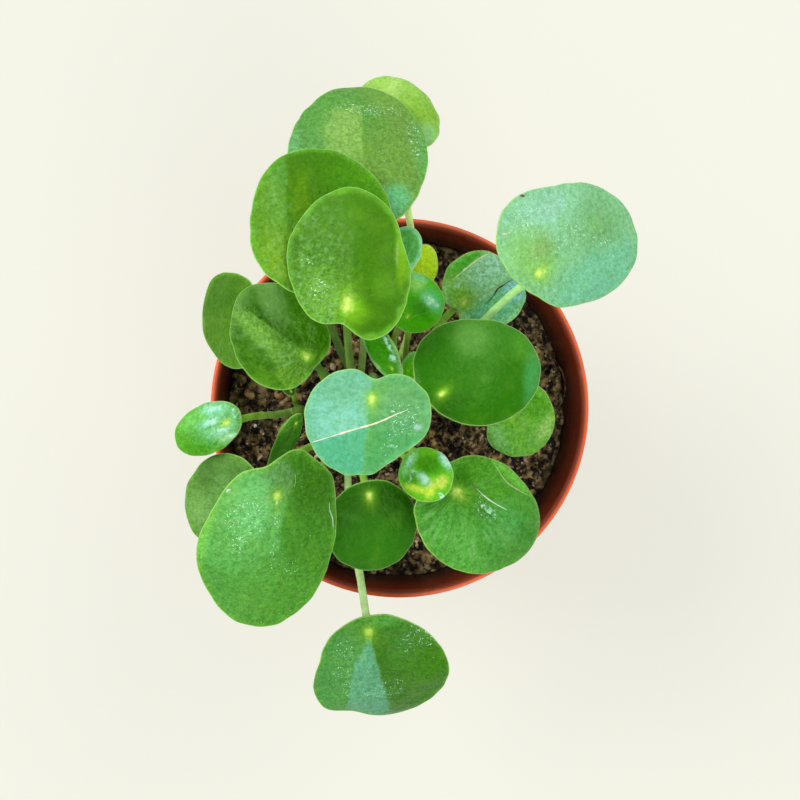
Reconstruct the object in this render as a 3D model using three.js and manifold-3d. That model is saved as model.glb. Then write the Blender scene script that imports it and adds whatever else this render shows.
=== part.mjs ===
// Potted pilea: a young Chinese money plant with two side shoots, in a 12 cm plastic nursery pot.
// Millimetres, +Z up. The origin is the centre of the pot's base, on the surface the pot stands on.
import * as THREE from 'three';
import { mergeVertices } from 'three/addons/utils/BufferGeometryUtils.js';
import Module from 'manifold-3d';

const wasm = await Module();
wasm.setup();

// ---- driving dimensions ----
const clearance = 0.3; // between neighbours that touch in the real plant
const potHeight = 98;
const rimRadius = 60;
const baseRadius = 42;
const wall = 1.3;
const rimWidth = 2.6; // rolled lip, seen from above
const rimDepth = 3.2; // height of the lip
const collarDepth = 17; // straight band under the lip
const collarStep = 1.6; // how far the band stands proud of the body
const bodyTopRadius = 54.4; // body just below the collar
const floorThickness = 1.6;

const soilDepthBelowRim = 15;
const soilMound = 1.4; // the middle stands this much higher than the edge
const soilLevel = potHeight - soilDepthBelowRim;

const drainHoles = { count: 8, radius: 4, ring: 33 };

const bladeThickness = 1.2;
const stalkRadius = 1.2; // where the leaf's row gives none
const stalkClearance = 0.4;
const stalkLift = 50; // angle at which a stalk meets its blade from below
const stalkReachOut = 0.4; // how far a stalk keeps its first direction, as a share of its length
const stalkReachIn = 0.35; // and its last one

// How finely the round shapes are faceted.
const facets = { pot: 48, soil: 40, drain: 16, stemSides: 10, stemSteps: 8, stalkSides: 6, stalkSteps: 9 };
const largeBlade = { over: 20, sides: 24 };
const smallBladeSides = 16;
const degree = Math.PI / 180;

// Stems stand in the soil. points: centre line from the buried end to the tip.
const stems = {
  main: {
    name: 'main_stem', radius: 3.9,
    points: [[-16, -4, 70], [-15.6, -4.4, 90], [-15, -3.6, 108], [-14.6, -3.4, 124]],
  },
  left: {
    name: 'side_shoot_left', radius: 2.2,
    points: [[-32.4, -2, 74], [-32.4, -1.6, 88], [-32.2, -1, 101]],
  },
  right: {
    name: 'side_shoot_right', radius: 2.3,
    points: [[-1, 5, 74], [-1.2, 5.2, 90], [-1.4, 5.6, 106]],
  },
};

// One row for each leaf.
// at: where the stalk meets the blade. heading: compass direction of the tip, from +X towards +Y.
// droop: how far the tip hangs below level. roll: turn about the tip direction, left edge up.
// length, width: of the flat blade. middle: from the stalk to the blade's middle, along the midrib.
// from, node, rise: the stem it grows on, the height it leaves at, and how steeply it leaves.
// swing, approach: turn the stalk's way out, and its way in, to the left of the straight line.
// stalk: its radius.
// The rest shape the blade: lean moves its middle to the left of the midrib, cant turns the oval against the
// midrib, each lobe adds to the reach around a turn, over a width, notch is the depth of the dent in the
// base and cleft its turn off the midrib, slant cuts the base obliquely, egg makes it fuller towards the tip
// and full squarer, dome bends the margins down, fold raises both halves along the midrib, and twist and
// curl bend the tip.
const leaves = [
  {
    at: [-6, 83, 124], heading: 72, droop: 28, length: 29.4, width: 23.2,
    middle: 8.2, lean: -0.8, cant: 51, dome: 1.6, roll: -6, twist: 0.6,
    from: 'main', node: 87, rise: 38, swing: -42, approach: 50,
  },
  {
    at: [-14, 62, 142], heading: 97, droop: 28, length: 55.4, width: 41,
    middle: 13.6, lean: 0.7, cant: -15, dome: 2.4, roll: 4, twist: 1.2, curl: 1.4,
    lobes: [[351, 1.7, 7]],
    from: 'main', node: 103, rise: 64, swing: -4,
  },
  {
    at: [-26.5, 36.5, 159], heading: 97, droop: 14, length: 45, width: 42.8,
    middle: 16.3, cant: 2, dome: 2.2, roll: 7, twist: -1, curl: 1,
    lobes: [[71, -3, 41]],
    from: 'main', node: 109, rise: 70, swing: -17,
  },
  {
    at: [-21, 27.5, 168], heading: 88, droop: 14, length: 48.4, width: 33.3,
    middle: 13.8, cant: 13, dome: 2.4, roll: -4, twist: 0.8, curl: 1,
    lobes: [[176, -4.5, 15], [292, -1.3, 12], [28, -4.3, 34]],
    from: 'main', node: 117, rise: 76,
  },
  {
    at: [-46, 25, 130], heading: 172, droop: 46, length: 29.5, width: 26.7,
    middle: 9.8, cant: -48, roll: -8,
    lobes: [[309, 1.3, 20]],
    from: 'main', node: 98, rise: 58,
  },
  {
    at: [-31, 14.5, 146], heading: 143, droop: 26, length: 34.3, width: 25.7,
    middle: 13, cant: -30, dome: 1.8, roll: 3, twist: 0.8,
    lobes: [[348, 1.9, 12], [211, 3, 30], [196, 0.7, 8]],
    from: 'main', node: 110, rise: 66,
  },
  {
    at: [-54, -4, 126], heading: -158, droop: 24, length: 23.6, width: 15,
    middle: 7.1, lean: -0.5, cant: 3, roll: 8,
    from: 'left', node: 97, rise: 46,
  },
  {
    at: [-49, -28, 127], heading: 160, droop: 32, length: 28.5, width: 29,
    middle: 7.6, lean: 2, cant: 12, dome: 1.6, roll: -6,
    from: 'main', node: 94, rise: 50, swing: 16, approach: -16,
  },
  {
    at: [-39.6, -24, 148], heading: -99, droop: 14, length: 57.1, width: 35.8,
    middle: 13.2, lean: 1, cant: -2, notch: 4, cleft: 9, slant: 1, dome: 2.6, roll: -8, twist: 1.2, curl: 2,
    lobes: [[293, 3.3, 37], [161, -1.9, 11], [199, -0.9, 15]],
    from: 'main', node: 108, rise: 66,
  },
  {
    at: [-14.6, 3.3, 173], heading: -96, droop: 8, length: 36.8, width: 34.6,
    middle: 6.3, lean: 0.3, cant: 60, notch: 3, roll: 5, twist: 1,
    lobes: [[189, -3.4, 54], [44, -5.9, 46]],
    from: 'main', node: 124, rise: 84,
  },
  {
    at: [-12.8, -25, 133], heading: -80, droop: 20, length: 29.5, width: 27.6,
    middle: 10.5, lean: -0.5, dome: 1.6, roll: -5,
    from: 'main', node: 100, rise: 60,
  },
  {
    at: [5, -20, 158], heading: 154, droop: 16, length: 16, width: 15,
    middle: 4.4, cant: -19, dome: 2.2,
    from: 'main', node: 121, rise: 70, approach: 50,
  },
  {
    at: [11.7, -23.7, 143], heading: -40, droop: 23, length: 41.4, width: 33.8,
    middle: 11, lean: -1.2, cant: 9, notch: 2, dome: 2, roll: -6, twist: -1, curl: 1.2,
    lobes: [[19, 4.5, 28]],
    from: 'main', node: 105, rise: 62,
  },
  {
    at: [5.5, 4, 158], heading: 35, droop: 16, length: 33.2, width: 30.4,
    middle: 11.4, cant: -53, dome: 2, roll: -7, twist: 1,
    lobes: [[343, 5.9, 45]],
    from: 'main', node: 115, rise: 70,
  },
  {
    at: [29, -1, 126], heading: -34, droop: 28, length: 28, width: 22.8,
    middle: 5.7, lean: 0.4, cant: -11, roll: 8,
    lobes: [[218, -1.9, 18]],
    from: 'main', node: 90, rise: 44, swing: -8,
  },
  {
    at: [34.8, 38.4, 147], heading: 41, droop: 22, length: 49.8, width: 40.6,
    middle: 16.7, lean: 2.4, cant: -27, dome: 2, roll: 6, twist: -1.2, curl: 1.4,
    lobes: [[65, -5.1, 56], [220, 1.1, 13]],
    from: 'main', node: 98, rise: 58, swing: -26,
  },
  {
    at: [15.5, 31.5, 127], heading: 36, droop: 18, length: 27.3, width: 24.1,
    middle: 8.1, lean: -0.8, cant: -27, fold: 2,
    lobes: [[179, -2.5, 12]],
    from: 'right', node: 99, rise: 64, swing: -10,
  },
  {
    at: [-2, 26.5, 138], heading: 49, droop: 10, length: 18.2, width: 18.2,
    middle: 5, lean: 1.4, dome: 2.2,
    from: 'right', node: 97, rise: 70, swing: -16, stalk: 1,
  },
  {
    at: [-5, 41, 145], heading: 74, droop: 24, length: 17, width: 11, middle: 5, roll: -12, fold: 0.8,
    from: 'right', node: 100, rise: 54, swing: 27, approach: -62, stalk: 0.9,
  },
  {
    at: [3.5, 38.5, 126], heading: 78, droop: 20, length: 15, width: 9, middle: 4.5, roll: 10,
    from: 'right', node: 92, rise: 60, swing: -8, stalk: 0.9,
  },
  {
    at: [-6, 11.5, 134], heading: 118, droop: 12, length: 20, width: 8.4,
    middle: 6.4, roll: -14, fold: 1,
    from: 'right', node: 104, rise: 80, swing: 30, stalk: 0.8,
  },
  {
    at: [-0.4, 8.6, 119], heading: 70, droop: 10, length: 13, width: 6,
    middle: 3, roll: 4, fold: 0.6,
    from: 'right', node: 105, rise: 84, swing: -60, stalk: 0.8,
  },
  {
    at: [-33.6, -4.4, 111], heading: -116, droop: 12, length: 21, width: 6.5,
    middle: 7.5, dome: 0.8, roll: -16, curl: 1.5,
    from: 'left', node: 100, rise: 70, stalk: 0.9,
  },
  {
    at: [-35.4, -4.6, 98], heading: -122, droop: 20, length: 8, width: 3.4, middle: 2.8,
    from: 'left', node: 88, rise: 76, stalk: 0.6,
  },
  {
    at: [-35, 5, 110], heading: 120, droop: 10, length: 7, width: 4.4, middle: 2.3,
    from: 'left', node: 99, rise: 70, stalk: 0.8,
  },
  {
    at: [-12, -67, 118], heading: -74, droop: 28, length: 41, width: 49.9,
    middle: 12.6, lean: -3.4, cant: -31, egg: 0.12, full: 0.03, dome: 2, roll: 5, twist: 1, curl: 1.6,
    lobes: [[244, -9.6, 50], [338, -1.7, 15], [9, 2.2, 18]],
    from: 'main', node: 88, rise: 40, swing: -11, approach: -8, stalk: 1.3,
  },
];

// ---- materials ----
const finish = (color, roughness) => new THREE.MeshStandardMaterial({ color, roughness, metalness: 0 });
const potFinish = finish('#b8502c', 0.42);
const soilFinish = finish('#2c211a', 0.95);
const stemFinish = finish('#6d6a35', 0.7);
const stalkFinish = finish('#7fa03f', 0.5);
const bladeFinish = finish('#4c8f2a', 0.38);

const plant = new THREE.Group();

function addMesh(name, geometry, material) {
  const mesh = new THREE.Mesh(geometry, material);
  mesh.name = name;
  plant.add(mesh);
  return mesh;
}

// ---- joins and cuts ----
function toSolid(geometry) {
  const loose = geometry.clone();
  loose.deleteAttribute('normal');
  loose.deleteAttribute('uv');
  const bare = mergeVertices(loose, 1e-4);
  const vertProperties = Float32Array.from(bare.attributes.position.array);
  const triVerts = Uint32Array.from(bare.index.array);
  return new wasm.Manifold(new wasm.Mesh({ numProp: 3, vertProperties, triVerts }));
}

function toGeometry(solid) {
  const mesh = solid.getMesh();
  const geometry = new THREE.BufferGeometry();
  geometry.setAttribute('position', new THREE.BufferAttribute(Float32Array.from(mesh.vertProperties), 3));
  geometry.setIndex(new THREE.BufferAttribute(Uint32Array.from(mesh.triVerts), 1));
  geometry.computeVertexNormals();
  return geometry;
}

// ---- tubes along a curve ----
function tube(curve, radius, sides, steps) {
  const corners = [];
  for (let i = 0; i < sides; i += 1) {
    const angle = (i / sides) * 2 * Math.PI;
    corners.push(new THREE.Vector2(radius * Math.cos(angle), radius * Math.sin(angle)));
  }
  const section = new THREE.Shape(corners);
  return new THREE.ExtrudeGeometry(section, { steps, extrudePath: curve });
}

const toVector = (point) => new THREE.Vector3(...point);
const stemCurve = (stem) => new THREE.CatmullRomCurve3(stem.points.map(toVector));

// ---- pot ----
// A thin tapered shell turned about the vertical axis, with a collar band and a rolled lip.
function potProfile() {
  const collarBase = potHeight - collarDepth;
  const collarRadius = bodyTopRadius + collarStep;
  const lipRoot = rimRadius - rimWidth + 0.6;
  const outside = [
    [0, 0], [baseRadius - 1, 0], [baseRadius, 1],
    [bodyTopRadius, collarBase - 1], [collarRadius, collarBase + 0.6],
    [lipRoot, potHeight - rimDepth], [rimRadius, potHeight - rimDepth + 0.8],
    [rimRadius, potHeight - 0.9], [rimRadius - 0.9, potHeight],
  ];
  const inside = [
    [rimRadius - rimWidth + 0.7, potHeight], [rimRadius - rimWidth, potHeight - 0.8],
    [collarRadius - wall, collarBase + 2], [bodyTopRadius - wall, collarBase],
    [baseRadius - wall, floorThickness + 1], [baseRadius - wall - 1, floorThickness], [0, floorThickness],
  ];
  return outside.concat(inside).map(([r, z]) => new THREE.Vector2(r, z));
}

function buildPot() {
  const shell = new THREE.LatheGeometry(potProfile(), facets.pot);
  shell.rotateX(90 * degree);
  let solid = toSolid(shell);
  for (let i = 0; i < drainHoles.count; i += 1) {
    const angle = ((i + 0.5) / drainHoles.count) * 2 * Math.PI;
    const { radius, ring } = drainHoles;
    const drill = new THREE.CylinderGeometry(radius, radius, 6 * floorThickness, facets.drain);
    drill.rotateX(90 * degree);
    drill.translate(ring * Math.cos(angle), ring * Math.sin(angle), 0);
    solid = solid.subtract(toSolid(drill));
  }
  addMesh('pot', toGeometry(solid), potFinish);
}

// ---- soil ----
// Fills the pot to 15 mm below the rim, a little higher in the middle, with a socket for each stem.
function soilProfile() {
  const base = floorThickness + clearance;
  const collarBase = potHeight - collarDepth;
  const inset = wall + clearance;
  const edge = bodyTopRadius + 0.6 - inset;
  const side = [
    [0, base], [baseRadius - inset - 1, base], [baseRadius - inset, base + 1],
    [bodyTopRadius - inset, collarBase - 0.2], [edge, soilLevel],
  ];
  const mound = [0.85, 0.55, 0].map((share) => [edge * share, soilLevel + soilMound * (1 - share * share)]);
  return side.concat(mound).map(([r, z]) => new THREE.Vector2(r, z));
}

function buildSoil() {
  const ball = new THREE.LatheGeometry(soilProfile(), facets.soil);
  ball.rotateX(90 * degree);
  let solid = toSolid(ball);
  for (const stem of Object.values(stems)) {
    const foot = toVector(stem.points[0]);
    const above = toVector(stem.points[1]);
    const path = new THREE.CatmullRomCurve3([
      foot.clone().setZ(foot.z - clearance), foot, foot.clone().lerp(above, 0.6), above,
    ]);
    const socket = tube(path, stem.radius + stalkClearance, facets.stemSides, facets.stemSteps);
    solid = solid.subtract(toSolid(socket));
  }
  addMesh('soil', toGeometry(solid), soilFinish);
}

// ---- stems ----
function buildStems() {
  for (const stem of Object.values(stems)) {
    addMesh(stem.name, tube(stemCurve(stem), stem.radius, facets.stemSides, facets.stemSteps), stemFinish);
  }
}

// ---- leaves ----
// Outline of the flat blade about its middle: an oval with its tip at turn 0 and its base at turn PI.
function outlineAt(leaf, turn) {
  const { length, width, middle, lean = 0, cant = 0, lobes = [] } = leaf;
  const { notch = 0, cleft = 0, slant = 0, egg = 0, full = 0 } = leaf;
  const [a, b] = [length / 2, width / 2];
  const off = turn - cant * degree;
  const oval = (a * b) / Math.hypot(b * Math.cos(off), a * Math.sin(off));
  const dent = notch * Math.exp(-(((turn - Math.PI - cleft * degree) / 0.3) ** 2));
  const aside = (Math.PI - turn) / 0.4;
  const oblique = slant * aside * Math.exp((1 - aside * aside) / 2);
  const body = oval * (1 + egg * Math.cos(turn) + full * Math.sin(2 * turn) ** 2) - dent + oblique;
  const reach = lobes.reduce((total, [at, more, spread]) => {
    const away = Math.atan2(Math.sin(turn - at * degree), Math.cos(turn - at * degree));
    return total + more * Math.exp(-((away / (spread * degree)) ** 2));
  }, body);
  return { u: middle + reach * Math.cos(turn), v: lean + reach * Math.sin(turn) };
}

// Height of the blade's middle surface above its flat plane, zero at the stalk.
function heightAt(leaf, u, v) {
  const { length, width, middle, dome = 1.2, fold = 0, twist = 0, curl = 0 } = leaf;
  const surface = (p, q) => {
    const ridge = Math.hypot(q, 0.2) - 0.2;
    return -dome * (p * p + q * q) + fold * ridge + twist * p * q - curl * Math.max(0, p) ** 3;
  };
  const [a, b] = [length / 2, width / 2];
  return surface((u - middle) / a, v / b) - surface(-middle / a, 0);
}

// A disc with one inner ring, stretched to the outline and bent to the height field.
function bladeGeometry(leaf) {
  const half = bladeThickness / 2;
  const segments = leaf.length > largeBlade.over ? largeBlade.sides : smallBladeSides;
  const profile = [[0, -half], [0.6, -half], [1, -half], [1, half], [0.6, half], [0, half]];
  const disc = new THREE.LatheGeometry(profile.map(([r, z]) => new THREE.Vector2(r, z)), segments);
  disc.rotateX(90 * degree);
  const position = disc.attributes.position;
  for (let i = 0; i < position.count; i += 1) {
    const [x, y, z] = [position.getX(i), position.getY(i), position.getZ(i)];
    const spoke = Math.atan2(y, x);
    const turn = (spoke < 0 ? spoke + 2 * Math.PI : spoke) + 0.3 * Math.sin(spoke);
    const edge = outlineAt(leaf, turn);
    const reach = Math.hypot(x, y);
    const [u, v] = [edge.u * reach, edge.v * reach];
    position.setXYZ(i, u, v, z + heightAt(leaf, u, v));
  }
  disc.computeVertexNormals();
  return disc;
}

// Directions of a blade: towards the tip, to its left, and out of its upper face.
function bladeFrame(leaf) {
  const [heading, droop, roll] = [leaf.heading, leaf.droop, leaf.roll ?? 0].map((angle) => angle * degree);
  const level = new THREE.Vector3(Math.cos(heading), Math.sin(heading), 0);
  const tip = level.multiplyScalar(Math.cos(droop)).setZ(-Math.sin(droop));
  const left = new THREE.Vector3(-Math.sin(heading), Math.cos(heading), 0);
  left.applyAxisAngle(tip, roll);
  return { tip, left, up: new THREE.Vector3().crossVectors(tip, left) };
}

// A stalk leaves its stem upwards and outwards and comes up under the blade from the base side.
function stalkCurve(leaf, frame, radius) {
  const { swing = 0, approach = 0 } = leaf;
  const stem = stems[leaf.from];
  const inward = frame.tip.clone().applyAxisAngle(frame.up, approach * degree);
  const [slope, climb] = [Math.cos(stalkLift * degree), Math.sin(stalkLift * degree)];
  const arrive = inward.multiplyScalar(slope).addScaledVector(frame.up, climb);
  const below = bladeThickness / 2 + stalkClearance + radius * slope;
  const end = toVector(leaf.at).addScaledVector(frame.up, -below);

  const offNode = (point) => Math.abs(point.z - leaf.node);
  const axis = stemCurve(stem).getPoints(60);
  const atNode = axis.reduce((best, point) => (offNode(point) < offNode(best) ? point : best));
  const bearing = Math.atan2(end.y - atNode.y, end.x - atNode.x) + swing * degree;
  const out = new THREE.Vector3(Math.cos(bearing), Math.sin(bearing), 0);
  const leave = out.clone().multiplyScalar(Math.cos(leaf.rise * degree)).setZ(Math.sin(leaf.rise * degree));
  const gap = stem.radius + stalkClearance + radius * Math.sin(leaf.rise * degree);
  const start = atNode.clone().addScaledVector(out, gap);
  const span = start.distanceTo(end);
  return new THREE.CubicBezierCurve3(
    start,
    start.clone().addScaledVector(leave, span * stalkReachOut),
    end.clone().addScaledVector(arrive, -span * stalkReachIn),
    end,
  );
}

function buildLeaves() {
  leaves.forEach((leaf, index) => {
    const number = String(index + 1).padStart(2, '0');
    const frame = bladeFrame(leaf);
    const blade = addMesh(`leaf_${number}`, bladeGeometry(leaf), bladeFinish);
    blade.setRotationFromMatrix(new THREE.Matrix4().makeBasis(frame.tip, frame.left, frame.up));
    blade.position.set(...leaf.at);

    const radius = leaf.stalk ?? stalkRadius;
    const path = stalkCurve(leaf, frame, radius);
    addMesh(`stalk_${number}`, tube(path, radius, facets.stalkSides, facets.stalkSteps), stalkFinish);
  });
}

buildPot();
buildSoil();
buildStems();
buildLeaves();

export default plant;
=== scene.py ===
import bpy
import numpy as np
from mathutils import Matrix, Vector


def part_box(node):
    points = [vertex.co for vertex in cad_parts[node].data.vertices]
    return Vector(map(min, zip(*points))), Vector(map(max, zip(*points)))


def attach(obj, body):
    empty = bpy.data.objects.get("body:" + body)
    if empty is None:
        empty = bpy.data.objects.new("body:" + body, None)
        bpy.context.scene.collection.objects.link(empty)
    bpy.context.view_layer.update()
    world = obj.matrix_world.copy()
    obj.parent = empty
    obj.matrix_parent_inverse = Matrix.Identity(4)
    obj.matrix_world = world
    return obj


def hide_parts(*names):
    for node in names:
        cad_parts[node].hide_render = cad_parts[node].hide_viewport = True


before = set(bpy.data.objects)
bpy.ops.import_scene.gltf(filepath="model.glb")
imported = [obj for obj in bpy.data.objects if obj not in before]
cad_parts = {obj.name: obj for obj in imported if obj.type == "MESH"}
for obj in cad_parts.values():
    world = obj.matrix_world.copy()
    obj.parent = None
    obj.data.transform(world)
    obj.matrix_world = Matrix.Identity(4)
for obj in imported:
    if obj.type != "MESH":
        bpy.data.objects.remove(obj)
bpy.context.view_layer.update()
mm = 0.001
up = np.array([0.0, 0.0, 1.0])
eastwards = np.array([1.0, 0.0, 0.0])
print("frame loaded:", len(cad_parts), "nodes")


def toLinear(hexColour):
    # sRGB hex to linear light: each channel through the sRGB curve.
    channels = np.array([int(hexColour[i:i + 2], 16) for i in (1, 3, 5)]) / 255
    return np.where(channels <= 0.04045, channels / 12.92, ((channels + 0.055) / 1.055) ** 2.4)


def toColour(hexColour):
    # The same, opaque, as a node's colour input takes it.
    return (*toLinear(hexColour), 1.0)


def addNode(tree, kind, settings=None, links=None):
    # Settings name the node's properties or its inputs' values. Links feed its inputs, each from an output
    # of another node, or from that node's first working output.
    node = tree.nodes.new("ShaderNode" + kind)
    for name, value in (settings or {}).items():
        if isinstance(name, str) and hasattr(node, name):
            setattr(node, name, value)
        else:
            node.inputs[name].default_value = value
    for name, source in (links or {}).items():
        if isinstance(source, bpy.types.Node):
            source = next(socket for socket in source.outputs if socket.enabled)
        tree.links.new(source, node.inputs[name])
    return node


def newMaterial(name):
    # A material with no nodes yet, and its node tree.
    material = bpy.data.materials.new(name)
    material.use_nodes = True
    material.node_tree.nodes.clear()
    return material, material.node_tree


def smoothStep(low, high, value):
    # 0 below low, 1 above high, and an S curve between them.
    share = np.clip((value - low) / (high - low), 0, 1)
    return share * share * (3 - 2 * share)


def unit(vectors):
    # Each vector over its own length.
    return vectors / np.linalg.norm(vectors, axis=-1, keepdims=True)


def mixed(base, other, share):
    # From base to other by a share for each point.
    return base + (other - base) * np.asarray(share)[..., None]


def ripples(points, size, seed, waves=18):
    # Smooth noise near -1 to 1: a sum of plane waves in random directions, about size between crests.
    random = np.random.default_rng(seed)
    directions = unit(random.normal(size=(waves, points.shape[-1])))
    rates = random.uniform(0.7, 1.4, waves) * 2 * np.pi / size
    phases = random.uniform(0, 2 * np.pi, waves)
    return np.sin(points @ (directions * rates[:, None]).T + phases).sum(-1) * np.sqrt(1 / waves)


def shellFaces(rings, columns):
    # A closed skin: a pole, rings of points around it, and the other pole.
    at = np.arange(columns)
    after = (at + 1) % columns
    starts = 1 + np.arange(rings - 1)[:, None] * columns
    corners = [starts + at, starts + columns + at, starts + columns + after, starts + after]
    quads = np.stack(corners, -1).reshape(-1, 4)
    near = np.stack([0 * at, 1 + at, 1 + after], -1)
    last = 1 + (rings - 1) * columns
    far = np.stack([last + at, 0 * at + last + columns, last + after], -1)
    return quads, np.concatenate([near, far])


def shellPoints(firstPole, grid, lastPole):
    # A pole, the grid's points a ring at a time, and the other pole.
    return np.concatenate([firstPole[None], grid.reshape(-1, grid.shape[-1]), lastPole[None]])


def makePiece(name, points, faces, material, replaced=(), paint=None, numbers=None, spoke=None):
    # Points in metres, faces as arrays of quads and triangles, and for each point a linear colour to paint
    # it, more numbers, and its place among the patterns that fan out from a stalk.
    mesh = bpy.data.meshes.new(name)
    mesh.from_pydata(points.tolist(), [], [face for group in faces for face in group.tolist()])
    mesh.polygons.foreach_set("use_smooth", np.ones(len(mesh.polygons), bool))
    if paint is not None:
        colours = np.concatenate([paint, np.ones((len(paint), 1))], 1).astype(np.float32)
        layer = mesh.attributes.new("paint", "FLOAT_COLOR", "POINT")
        layer.data.foreach_set("color", colours.ravel())
    for title, values in (numbers or {}).items():
        layer = mesh.attributes.new(title, "FLOAT", "POINT")
        layer.data.foreach_set("value", np.asarray(values, np.float32))
    if spoke is not None:
        layer = mesh.attributes.new("spoke", "FLOAT_VECTOR", "POINT")
        layer.data.foreach_set("vector", spoke.astype(np.float32).ravel())
    mesh.update()
    piece = bpy.data.objects.new(name, mesh)
    bpy.context.scene.collection.objects.link(piece)
    piece.data.materials.append(material)
    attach(piece, "root")
    if replaced:
        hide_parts(*replaced)
    return piece


def frameMesh(name):
    # The node's corners, each once, and its triangles as numbers of corners.
    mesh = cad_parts[name].data
    places = np.empty(len(mesh.vertices) * 3)
    mesh.vertices.foreach_get("co", places)
    points, order = np.unique(places.reshape(-1, 3).round(6), axis=0, return_inverse=True)
    corners = np.empty(len(mesh.loops), np.int32)
    mesh.loops.foreach_get("vertex_index", corners)
    return points, order.ravel()[corners].reshape(-1, 3)


def readBlade(name, lean=0):
    # The upper face is the lower one lifted along the normal, and the upper corner that most triangles
    # share is where the stalk joins. From there the middle of the face lies lean degrees left of the tip.
    points, triangles = frameMesh(name)
    first, second, third = (points[triangles[:, k]] for k in range(3))
    cross = np.cross(second - first, third - first)
    extent = np.linalg.norm(cross, axis=1)
    level = np.linalg.svd(points - points.mean(0), full_matrices=False)[2][2]
    facing = (cross / extent[:, None]) @ (level * np.sign(level[2]))
    upper, lower = triangles[facing > 0.5], triangles[facing < -0.5]
    lift = points[np.unique(upper)].mean(0) - points[np.unique(lower)].mean(0)
    normal = unit(lift)
    hub = np.bincount(upper.ravel()).argmax()
    weights = extent[facing > 0.5][:, None]
    middle = (points[upper].mean(1) * weights).sum(0) / weights.sum()
    tip = middle - points[hub]
    tip = unit(tip - normal * (tip @ normal))
    tip = tip * np.cos(np.radians(lean)) - np.cross(normal, tip) * np.sin(np.radians(lean))
    axes = np.array([tip, np.cross(normal, tip), normal])
    inner = np.unique(upper[(upper == hub).any(1)])
    outer = np.setdiff1d(np.unique(upper), inner)
    samples = (points[np.unique(upper)] - points[hub]) @ axes.T
    loop = ((points[outer] - points[hub]) @ axes.T)[:, :2]
    loop = loop[np.argsort(np.arctan2(loop[:, 1], loop[:, 0]))]
    return {"hub": points[hub] - lift / 2, "axes": axes, "samples": samples, "loop": loop}


def readTube(name, nearPoint, sides=6):
    # Middles of a tube's rings, starting from the ring nearest a point: each next ring is what the
    # triangles around the last one reach.
    points, triangles = frameMesh(name)
    reached = np.zeros(len(points), bool)
    nearest = np.argsort(np.linalg.norm(points - nearPoint, axis=1))[:sides]
    ring = nearest
    middles = []
    while len(ring):
        reached[ring] = True
        middles.append(points[ring].mean(0))
        touching = np.unique(triangles[np.isin(triangles, ring).any(1)])
        ring = touching[~reached[touching]]
    return np.array(middles), np.linalg.norm(points[nearest] - middles[0], axis=1).mean()


def throughLoop(loop, count):
    # A smooth closed curve through a loop of points: its Fourier series read at count even steps.
    waves = np.fft.rfft(loop, axis=0)
    waves[-1] *= 0.5
    finer = np.zeros((count // 2 + 1, loop.shape[1]), complex)
    finer[:len(waves)] = waves
    return np.fft.irfft(finer, count, axis=0) * (count / len(loop))


def throughPoints(points, count):
    # A smooth open curve through points: Catmull-Rom arcs, read at count even steps along the way.
    ends = [2 * points[0] - points[1], 2 * points[-1] - points[-2]]
    padded = np.concatenate([[ends[0]], points, [ends[1]]])
    steps = np.linalg.norm(np.diff(points, axis=0), axis=1)
    run = np.concatenate([[0], np.cumsum(steps)])
    where = np.interp(np.linspace(0, run[-1], count), run, np.arange(len(points)))
    left = np.minimum(where.astype(int), len(points) - 2)
    share = (where - left)[:, None]
    p, q, r, s = (padded[left + k] for k in range(4))
    rise = (r - p) * share + (2 * p - 5 * q + 4 * r - s) * share ** 2
    return q + (rise + (3 * q - p - 3 * r + s) * share ** 3) / 2


def tubeSkin(path, radii, columns, sideways):
    # Circles of the given radii carried along a path, from its far end back to its start.
    path, radii = path[::-1], radii[::-1]
    forward = unit(np.gradient(path, axis=0))
    across = unit(sideways - forward * (forward @ sideways)[:, None])
    third = np.cross(forward, across)
    turn = -np.arange(columns) * 2 * np.pi / columns
    circle = np.cos(turn)[None, :, None] * across[:, None] + np.sin(turn)[None, :, None] * third[:, None]
    return path[:, None] + circle * np.reshape(radii, (len(path), -1, 1))


bladeShape = {
    "thickness": 0.9 * mm, "marginThickness": 0.5 * mm, "marginRows": 5,
    "rings": 46, "underRings": 16, "spokes": 190, "smallLength": 21 * mm,
    "smallRings": 26, "smallUnderRings": 10, "smallSpokes": 110,
    "hubDimple": 0.2 * mm, "hubWidth": 1.5 * mm, "ribWidth": 0.45 * mm, "ribDepth": 0.1 * mm,
    "ribAngles": (0, 33, -35, 70, -68, 112, -110, 150, -148), "ribBend": 0.2, "crease": 0.35 * mm,
    "swell": 0.3 * mm, "swellSize": 14 * mm, "cushionSize": 4.4 * mm, "marginWobble": 0.14 * mm,
    "spokeGrain": 20 * mm, "spokeStretch": 0.28, "spokeSize": 4.2 * mm, "valley": 0.42,
}


def fitBend(blade):
    # Least squares: the middle surface's height as a polynomial of the fourth degree in the two flat
    # distances from the stalk.
    powers = [(i, j) for i in range(5) for j in range(5 - i)]
    unitLength = 20 * mm

    def terms(places):
        # Products of the two distances' powers.
        along, across = places[..., 0] / unitLength, places[..., 1] / unitLength
        return np.stack([along ** i * across ** j for i, j in powers], -1)

    weights = np.linalg.lstsq(terms(blade["samples"][:, :2]), blade["samples"][:, 2], rcond=None)[0]
    return lambda places: terms(places) @ weights


def spokeSpace(places):
    # Fine steps round the stalk and long ones outwards, so that what is even here radiates on the leaf.
    radius = np.hypot(places[..., 0], places[..., 1])[..., None]
    heading = places / np.maximum(radius, 1e-9)
    return np.concatenate([heading * bladeShape["spokeGrain"], radius * bladeShape["spokeStretch"]], -1)


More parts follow.
